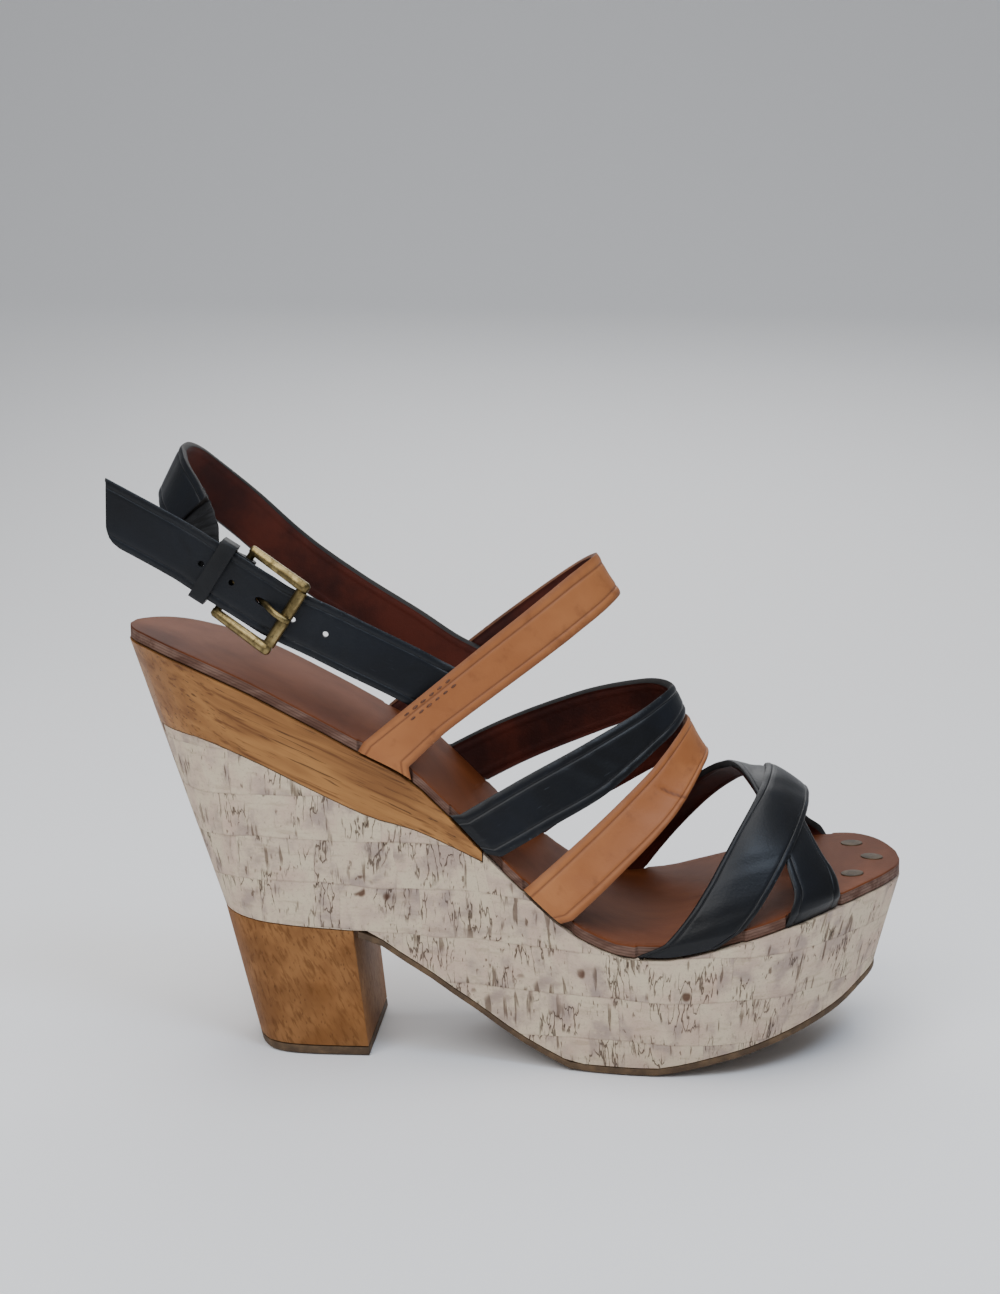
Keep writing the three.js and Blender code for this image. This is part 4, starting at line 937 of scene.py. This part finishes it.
# %% A merged copy of a measured piece
def dressed(node, name, material, angle=35, rounded=0.0):
    """A copy of a measured piece with its loose triangles joined, smooth shading and a finish."""
    piece = bpy.data.objects.new(name, frame["nodes"][node].data.copy())
    bpy.context.scene.collection.objects.link(piece)
    only(piece)
    mode("EDIT")
    bpy.ops.mesh.select_all(action="SELECT")
    bpy.ops.mesh.remove_doubles(threshold=0.00001)
    bpy.ops.mesh.tris_convert_to_quads()
    mode("OBJECT")
    if rounded:
        bevel(piece, rounded, 40)
    bpy.ops.object.shade_smooth_by_angle(angle=math.radians(angle))
    piece.data.materials.clear()
    piece.data.materials.append(material)
    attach(piece, "root")
    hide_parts(node)
    print(name, len(piece.data.polygons), "faces")
    return piece


OUTLINE_STEPS = 240


def shoe_outline():
    """Points round the footbed, from the heel along the outer side and back, with their runs in mm."""
    ats = [(1 - math.cos(math.pi * i / OUTLINE_STEPS)) / 2 for i in range(OUTLINE_STEPS + 1)]
    outer = [(bed_x(at), bed_edge(at, -1)) for at in ats]
    inner = [(bed_x(at), bed_edge(at, 1)) for at in reversed(ats[:-1])]
    points = np.array(outer + inner)
    steps = np.linalg.norm(np.diff(points, axis=0), axis=1)
    return points, np.concatenate([[0], np.cumsum(steps)])


def wrap_map(piece):
    """A map round the shoe, in metres: along the nearest part of the outline, and up."""
    points, runs = shoe_outline()
    places = np.array([vertex.co[:] for vertex in piece.data.vertices]) / MM
    nearest = [int(np.argmin(((points - place[:2]) ** 2).sum(axis=1))) for place in places]
    layer = piece.data.uv_layers.get("UVMap") or piece.data.uv_layers.new(name="UVMap")
    layer.active = True
    for face in piece.data.polygons:
        round_runs = [runs[nearest[v]] for v in face.vertices]
        past_seam = max(round_runs) - min(round_runs) > runs[-1] / 2
        for index, v, run in zip(face.loop_indices, face.vertices, round_runs):
            if past_seam and run < runs[-1] / 2:
                run += runs[-1]
            layer.data[index].uv = (run * MM, places[v][2] * MM)
    print(piece.name, "wrapped", round(float(runs[-1])), "mm round")


# %% Cork finish
CORK_ROW = 0.0132
CORK_BLOCK = 0.023


def cork_finish():
    finish = Finish("cork_sheet", Specular_IOR_Level=0.3)
    place = finish.place()
    run, high, _ = finish.parts(finish.unwrapped())
    sway = finish.noise(place, 24, 2) * 0.006
    level = (high + sway) / CORK_ROW
    row = level.floor()
    shift = finish.node("ShaderNodeTexWhiteNoise", {"noise_dimensions": "1D"}, {"W": row}) * 0.05
    station = (run + shift) / CORK_BLOCK
    block = station.floor()
    own = finish.join(block, row)
    tone = finish.node("ShaderNodeTexWhiteNoise", {"noise_dimensions": "2D"}, {"Vector": own})
    slid = finish.join(run + tone * 0.7, high + tone * 0.3)
    # Upright strokes and the thin outlines round them, both pulled tall and kept in clusters
    cluster = finish.noise(slid, 110, 2, 0.5, stretch=(1, 0.6, 1)).rise(0.46, 0.57)
    stroke = finish.noise(slid, 560, 2, 0.5, 0.12, stretch=(1, 0.13, 1)).rise(0.585, 0.66)
    outline = finish.noise(slid, 400, 3, 0.5, 0.15, stretch=(1, 0.2, 1))
    crack = stroke * cluster
    thin = abs(outline - 0.5).rise(0.022, 0.006) * finish.noise(slid, 75, 2).rise(0.5, 0.58)
    fine_bark = finish.noise(slid, 1000, 2, 0.5, 0.2, stretch=(1, 0.25, 1))
    fleck = fine_bark.rise(0.64, 0.7) * finish.noise(slid, 130, 2).rise(0.42, 0.58)
    pit = finish.cells(finish.turned(slid, scale=(1, 0.7, 1)), 130).rise(0.19, 0.1)
    pit = pit * finish.noise(slid, 52, 1).rise(0.6, 0.64)
    seam = abs(level - row - 0.5).rise(0.46, 0.5) * 0.3 + abs(station - block - 0.5).rise(0.48, 0.5) * 0.15
    fine = finish.noise(place, 1500, 4, 0.65)
    strata = finish.noise(slid, 420, 3, 0.6, stretch=(0.25, 1, 1))
    soft = finish.noise(slid, 90, 4, 0.6)
    colour = finish.stack(
        finish.mix(soft.rise(0.34, 0.66), (211, 195, 169), (204, 178, 158)),
        (tone * 0.45 * soft.rise(0.46, 0.68), (150, 138, 134)),
        (strata.rise(0.52, 0.7) * 0.35, (160, 140, 116)),
        (cluster * soft.rise(0.42, 0.6) * 0.45, (138, 126, 122)),
        (fine.rise(0.5, 0.8) * 0.45, (138, 118, 98)),
        (seam * soft.rise(0.3, 0.6), (112, 94, 80)),
        (fleck * 0.75, (92, 72, 56)),
        (crack * 0.72, (86, 66, 50)),
        (thin * 0.8, (70, 54, 42)),
        (pit * 0.9, (80, 48, 30)),
    )
    raised = fine * 0.35 + strata * 0.3 + soft * 0.2
    height = raised - crack * 1.2 - thin - pit * 1.8 - seam * 0.4 - fleck * 0.6
    roughness = fine * 0.15 + 0.72
    return finish.wear(colour, roughness, height, 0.0003, 0.85)


cork = cork_finish()
cork_body = dressed("cork_platform", "cork_cover", cork)
wrap_map(cork_body)

# %% [markdown]
# ## Wood
# The seat under the heel is honey-coloured wood whose grain runs down the slope of the shoe, with darker
# long streaks and fine open pores. The heel block is stained darker and mottled, as wood is when the
# surface cuts across its fibres. Both are oiled, so they have a low gloss.

# %% Wood finishes
def seat_wood_finish():
    finish = Finish("oiled_seat_wood", Specular_IOR_Level=0.25)
    place = finish.place()
    # The grain follows the slope of the seat
    grain_place = finish.turned(place, (0, -24, 0))
    bands = finish.noise(grain_place, 190, 4, 0.55, 0.6, stretch=(0.09, 1, 1))
    streak = finish.noise(grain_place, 560, 3, 0.6, 0.1, stretch=(0.026, 1, 1))
    pores = finish.noise(grain_place, 1500, 2, 0.6, stretch=(0.035, 1, 1))
    cloud = finish.noise(place, 26, 3)
    colour = finish.stack(
        finish.mix(bands.rise(0.34, 0.66), (170, 120, 68), (132, 88, 48)),
        (streak.rise(0.53, 0.7) * 0.8, (88, 50, 22)),
        (pores.rise(0.6, 0.7) * 0.75, (58, 34, 18)),
        (cloud.rise(0.42, 0.7) * 0.5, (104, 64, 32)),
    )
    height = bands * 0.2 - pores.rise(0.6, 0.75) * 0.8 - streak.rise(0.56, 0.75) * 0.3
    roughness = bands * 0.12 + streak * 0.1 + 0.4
    return finish.wear(colour, roughness, height, 0.00012, 0.6)


def heel_wood_finish():
    finish = Finish("stained_heel_wood", Specular_IOR_Level=0.12)
    place = finish.place()
    fibres = finish.noise(finish.turned(place, (0, 28, 0)), 1000, 4, 0.6, 0.3, stretch=(1, 1, 0.22))
    mottle = finish.noise(place, 90, 3, 0.55)
    speck = finish.cells(finish.turned(place, scale=(1, 1, 0.5)), 700)
    cloud = finish.noise(place, 40, 2)
    colour = finish.stack(
        finish.mix(mottle.rise(0.34, 0.66), (146, 102, 62), (120, 80, 46)),
        (fibres.rise(0.46, 0.68) * 0.6, (84, 50, 24)),
        (speck.rise(0.2, 0.08) * 0.5, (70, 44, 26)),
        (cloud.rise(0.4, 0.7) * 0.3, (150, 98, 50)),
    )
    roughness = fibres * 0.15 + 0.5
    height = fibres * 0.5 - speck.rise(0.2, 0.08) * 0.5
    return finish.wear(colour, roughness, height, 0.00014, 0.6)


dressed("seat_wedge", "wooden_seat", seat_wood_finish())
dressed("heel_block", "wooden_heel", heel_wood_finish(), 35, 0.35)

# %% [markdown]
# ## Rubber
# A thin brown outsole covers the underside, and a cap of the same stuff sits under the heel. Their cut
# edges are matt and a little dusty.

# %% Rubber finish and its pieces
rubber_finish = Finish("brown_rubber")
rubber_place = rubber_finish.place()
dust = rubber_finish.noise(rubber_place, 220, 4, 0.6)
grit = rubber_finish.noise(rubber_place, 1600, 3, 0.6)
rubber_colour = rubber_finish.mix(dust.rise(0.35, 0.7), (72, 54, 36), (104, 82, 58))
rubber = rubber_finish.wear(rubber_colour, dust * 0.2 + 0.68, grit, 0.0001, 0.5)
dressed("outsole", "rubber_outsole", rubber, 35, 0.2)
dressed("heel_lift", "rubber_heel_cap", rubber, 35, 0.2)

# %% [markdown]
# ## Footbed
# The foot stands on a board covered with smooth brown leather. Its rim shows the layers of the board as
# thin mauve-brown lines, and the top is polished and darker in long worn streaks. The board is a flat
# grid whose rows are set on the outline and the curve of the slope, with shallow notches where the straps
# pass its rim. It is then extruded straight down to its thickness. Its mesh stores how far each point lies
# below the top, so that the layers follow the board up the slope.

# %% Footbed finish
def footbed_finish():
    finish = Finish("footbed_leather", Specular_IOR_Level=0.1)
    place = finish.place()
    below = finish.attribute("below")
    cloud = finish.noise(place, 24, 4, 0.6, 0.5)
    grain = finish.noise(place, 800, 4, 0.65)
    pores = finish.cells(place, 1300)
    top = finish.mix(cloud.rise(0.3, 0.7), (110, 58, 28), (80, 40, 20))
    worn = finish.noise(place, 260, 3, 0.6, stretch=(0.3, 1, 1))
    top = finish.mix(worn.rise(0.6, 0.8) * 0.35, top, (58, 32, 20))
    wavy = below + finish.noise(place, 110, 2, stretch=(0.25, 1, 1)) * 0.5
    layers = finish.node("ShaderNodeMath", {"operation": "SINE"}, {0: wavy * 7.5})
    lines = layers.rise(0.25, 0.8)
    side_tone = finish.noise(place, 300, 3, 0.6, stretch=(0.2, 1, 1))
    side = finish.mix(side_tone.rise(0.35, 0.65), (124, 98, 86), (94, 68, 58))
    side = finish.mix(lines * 0.4, side, (64, 44, 38))
    on_side = below.rise(0.25, 0.55)
    colour = finish.mix(on_side, top, side)
    roughness = cloud * 0.15 + on_side * 0.2 + 0.46
    height = grain * 0.4 + pores * 0.2 - lines * on_side * 1.2
    return finish.wear(colour, roughness, height, 0.0001, 0.6)


# %% Footbed board
NOTCH_GAP = 0.1
NOTCH_DEPTH = LAST_INSET - GAP + NOTCH_GAP
NOTCH_SLOPE = 0.35
STRAP_RIM_SHARE = 1 / 12
FOOTBED_CUTS, FOOTBED_COLUMNS = 72, 26


def notches():
    """Where the straps pass the footbed's rim, as ranges of x for the outer and inner side."""
    spans = {-1: [], 1: []}
    for _, _, rows, *_ in STRAPS:
        lie = over_last(rows)
        for side, shares in ((-1, (0, STRAP_RIM_SHARE)), (1, (1, 1 - STRAP_RIM_SHARE))):
            xs = [lie(t, s)[0][0] for t in shares for s in (0, 1)]
            spans[side].append((min(xs) - NOTCH_GAP, max(xs) + NOTCH_GAP))
    return spans


spans = notches()
stations = [bed_x((1 - math.cos(math.pi * i / FOOTBED_CUTS)) / 2) for i in range(1, FOOTBED_CUTS)]
ends = [end for side in spans.values() for span in side for end in span]
stations = [x for x in stations if all(abs(x - end) > 0.5 for end in ends)]
stations = sorted(stations + [end + step for end in ends for step in (-NOTCH_SLOPE, NOTCH_SLOPE)])


def rim_at(x, side):
    edge = bed_edge((x + HEEL_OVERHANG) / FOOTBED_LENGTH, side)
    cut = any(low < x < high for low, high in spans[side])
    return edge - side * NOTCH_DEPTH * cut


bpy.ops.object.select_all(action="DESELECT")
bpy.ops.mesh.primitive_grid_add(x_subdivisions=len(stations) - 1, y_subdivisions=FOOTBED_COLUMNS, size=1)
footbed = bpy.context.object
footbed.name = footbed.data.name = "leather_footbed"
rows = sorted({round(vertex.co.x, 5) for vertex in footbed.data.vertices})
assert len(rows) == len(stations), (len(rows), len(stations))
station_of = dict(zip(rows, stations))
for vertex in footbed.data.vertices:
    x = station_of[round(vertex.co.x, 5)]
    outer, inner = rim_at(x, -1), rim_at(x, 1)
    vertex.co = Vector((x, outer + (inner - outer) * (vertex.co.y + 0.5), bed_top(x))) * MM
mode("EDIT")
bpy.ops.mesh.select_all(action="SELECT")
bpy.ops.mesh.extrude_region_move(TRANSFORM_OT_translate={"value": (0, 0, -FOOTBED_THICKNESS * MM)})
bpy.ops.mesh.select_all(action="SELECT")
bpy.ops.mesh.normals_make_consistent(inside=False)
mode("OBJECT")
bevel(footbed, 0.35, 55, 3, use_clamp_overlap=False)
bpy.ops.object.shade_smooth_by_angle(angle=math.radians(40))
footbed.data.materials.append(footbed_finish())
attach(footbed, "root")
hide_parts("footbed")
below = footbed.data.attributes.new("below", "FLOAT", "POINT")
for vertex in footbed.data.vertices:
    below.data[vertex.index].value = bed_top(vertex.co.x / MM) - vertex.co.z / MM
print("footbed rim", round(max(v.value for v in below.data), 2), "mm deep")

# %% [markdown]
# ## Brass
# The buckle, its roller and prong are cast brass that was left to age: bright and brown-dull in soft
# patches, with darker stains. The three studs in the toe are duller still and browner.

# %% Metal finishes and pieces
def metal_finish(name, bright, dull, dark, rough, metallic):
    finish = Finish(name, Metallic=metallic)
    place = finish.place()
    age = finish.noise(place, 260, 5, 0.65, 0.4)
    stain = finish.noise(place, 900, 3, 0.6)
    colour = finish.stack(
        finish.mix(age.rise(0.4, 0.62), bright, dull),
        (stain.rise(0.55, 0.72) * 0.6, dark),
    )
    roughness = age * 0.25 + stain * 0.12 + (rough - 0.15)
    return finish.wear(colour, roughness, stain, 0.00005, 0.5)


brass = metal_finish("aged_brass", (150, 132, 90), (106, 92, 60), (50, 42, 28), 0.34, 1.0)
stud_metal = metal_finish("dull_stud", (74, 58, 38), (54, 42, 28), (34, 26, 18), 0.55, 0.45)
frame_piece = dressed("buckle_frame", "cast_buckle_frame", brass, 50)
dressed("buckle_roller", "brass_roller", brass, 40)
prong_piece = dressed("buckle_prong", "brass_prong", brass, 60)
CORNER_AHEAD, CORNER_OUT, CORNER_REACH = 7.4, 9.0, 3.4
CORNER_SWELL, SKIN_SWELL, PRONG_SWELL = 0.45, 0.2, 0.12


def swell(piece, least, most):
    """Pushes the skin of a cast piece outward, most of all at the front corners of the buckle."""
    normals = [vertex.normal.copy() for vertex in piece.data.vertices]
    for vertex, normal in zip(piece.data.vertices, normals):
        off = np.array(vertex.co) / MM - seat
        to_corner = math.hypot(float(off @ ahead) - CORNER_AHEAD, abs(float(off @ downward)) - CORNER_OUT)
        vertex.co += normal * (least + most * max(0.0, 1 - to_corner / CORNER_REACH)) * MM
    piece.data.update()


swell(frame_piece, SKIN_SWELL, CORNER_SWELL)
swell(prong_piece, PRONG_SWELL, 0.0)
print("buckle swollen at its front corners by", CORNER_SWELL, "mm")
STUD_HEAD, STUD_PROUD, STUD_ROUND = 1.2, 0.22, 0.2
for spot in ("inner", "middle", "outer"):
    stud = dressed(f"toe_stud_{spot}", f"flush_stud_{spot}", stud_metal, 30)
    top = max(vertex.co.z for vertex in stud.data.vertices)
    for vertex in stud.data.vertices:
        if vertex.co.z > top - STUD_HEAD * MM:
            vertex.co.z += STUD_PROUD * MM
    bevel(stud, STUD_ROUND, 40)

# %% [markdown]
# ## Keeper, buckle tab and gather
# A loop of the same black leather keeps the free end down, a folded tab holds the buckle's rear bar, and
# behind it a short elastic piece, gathered into fine folds, lets the strap give.

# %% Small leather pieces
small_black = plain_leather("small_black_leather", (9, 10, 12), (20, 21, 24), 0.5)
dressed("keeper", "leather_keeper", small_black, 40, 0.25)
dressed("buckle_tab", "leather_buckle_tab", small_black, 40, 0.2)


# %% Gathered elastic
def gather_finish():
    finish = Finish("gathered_elastic", Roughness=0.75, Specular_IOR_Level=0.25)
    place = finish.place()
    threads = finish.noise(finish.unwrapped(), 1500, 3, 0.6, stretch=(1, 0.1, 1))
    fuzz = finish.noise(place, 2400, 3, 0.7)
    colour = finish.mix(threads.rise(0.35, 0.65), (9, 9, 10), (30, 30, 32))
    return finish.wear(colour, None, threads + fuzz * 0.5, 0.0002, 0.8)


GATHER_THICKNESS = 1.4
GATHER_FOLDS = 11
FOLD_HEIGHT = 0.3
TAB_BACK = -17.35
TAB_DEPTH = -2.2
GATHER_TUCK = 1.9
GATHER_WIDTH, GATHER_SPREAD = 12.6, 1.4
GATHER_ALONG, GATHER_ACROSS = 150, 16
elastic = gather_finish()
end_face = back_lie(0.03, 0.5)[1]
gather_points = [
    seat + ahead * (TAB_BACK - behind) + outward * (TAB_DEPTH - 0.3 * behind)
    for behind in (0.6, 2.1, 3.4)
]
gather_points.append(ankle_point(0.165, -0.820, 1.222) - end_face * 0.3)
gather_points.append(ankle_point(0.130, -0.718, 1.268) - end_face * GATHER_TUCK)
gather_points.append(ankle_point(0.105, -0.640, 1.296) - end_face * GATHER_TUCK)
gather_line = line_through(gather_points)


def gather_lie(t, s):
    tangent = unit(gather_line(min(t + 1e-3, 1)) - gather_line(max(t - 1e-3, 0)))
    turned = t * t * (3 - 2 * t)
    face = outward * (1 - turned) + end_face * turned
    face = unit(face - tangent * float(face @ tangent))
    reach = np.cross(tangent, face)
    if reach[2] < 0:
        reach = -reach
    width = GATHER_WIDTH + GATHER_SPREAD * t
    sway = 0.5 * math.sin(s * 5 + t * 9) + 0.35 * math.sin(s * 13 + 2)
    uneven = 0.7 + 0.3 * math.sin(s * 7 + t * 31)
    fold = FOLD_HEIGHT * math.sin(t * math.tau * GATHER_FOLDS + sway) * uneven
    return gather_line(t) + reach * (s - 0.5) * width + face * (GATHER_THICKNESS / 2 + fold), face, width


gather = lay_strap(
    "elastic_gather", gather_lie, GATHER_ALONG, GATHER_ACROSS, (elastic,) * 3, "gather", GATHER_THICKNESS,
    even=False,
)
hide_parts("strap_gather")

# %% [markdown]
# ## Last look
# The box of the dressed model is set against that of the measured one, and the growth is printed. The
# dressed model has to keep to the size of the measured one.

# %% Sizes
dressed_box = [list(corner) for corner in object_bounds()]
growth = [round((dressed_box[1][i] - cad_box[1][i]) / MM, 2) for i in range(3)]
print("grown by", growth, "mm at the top corner")
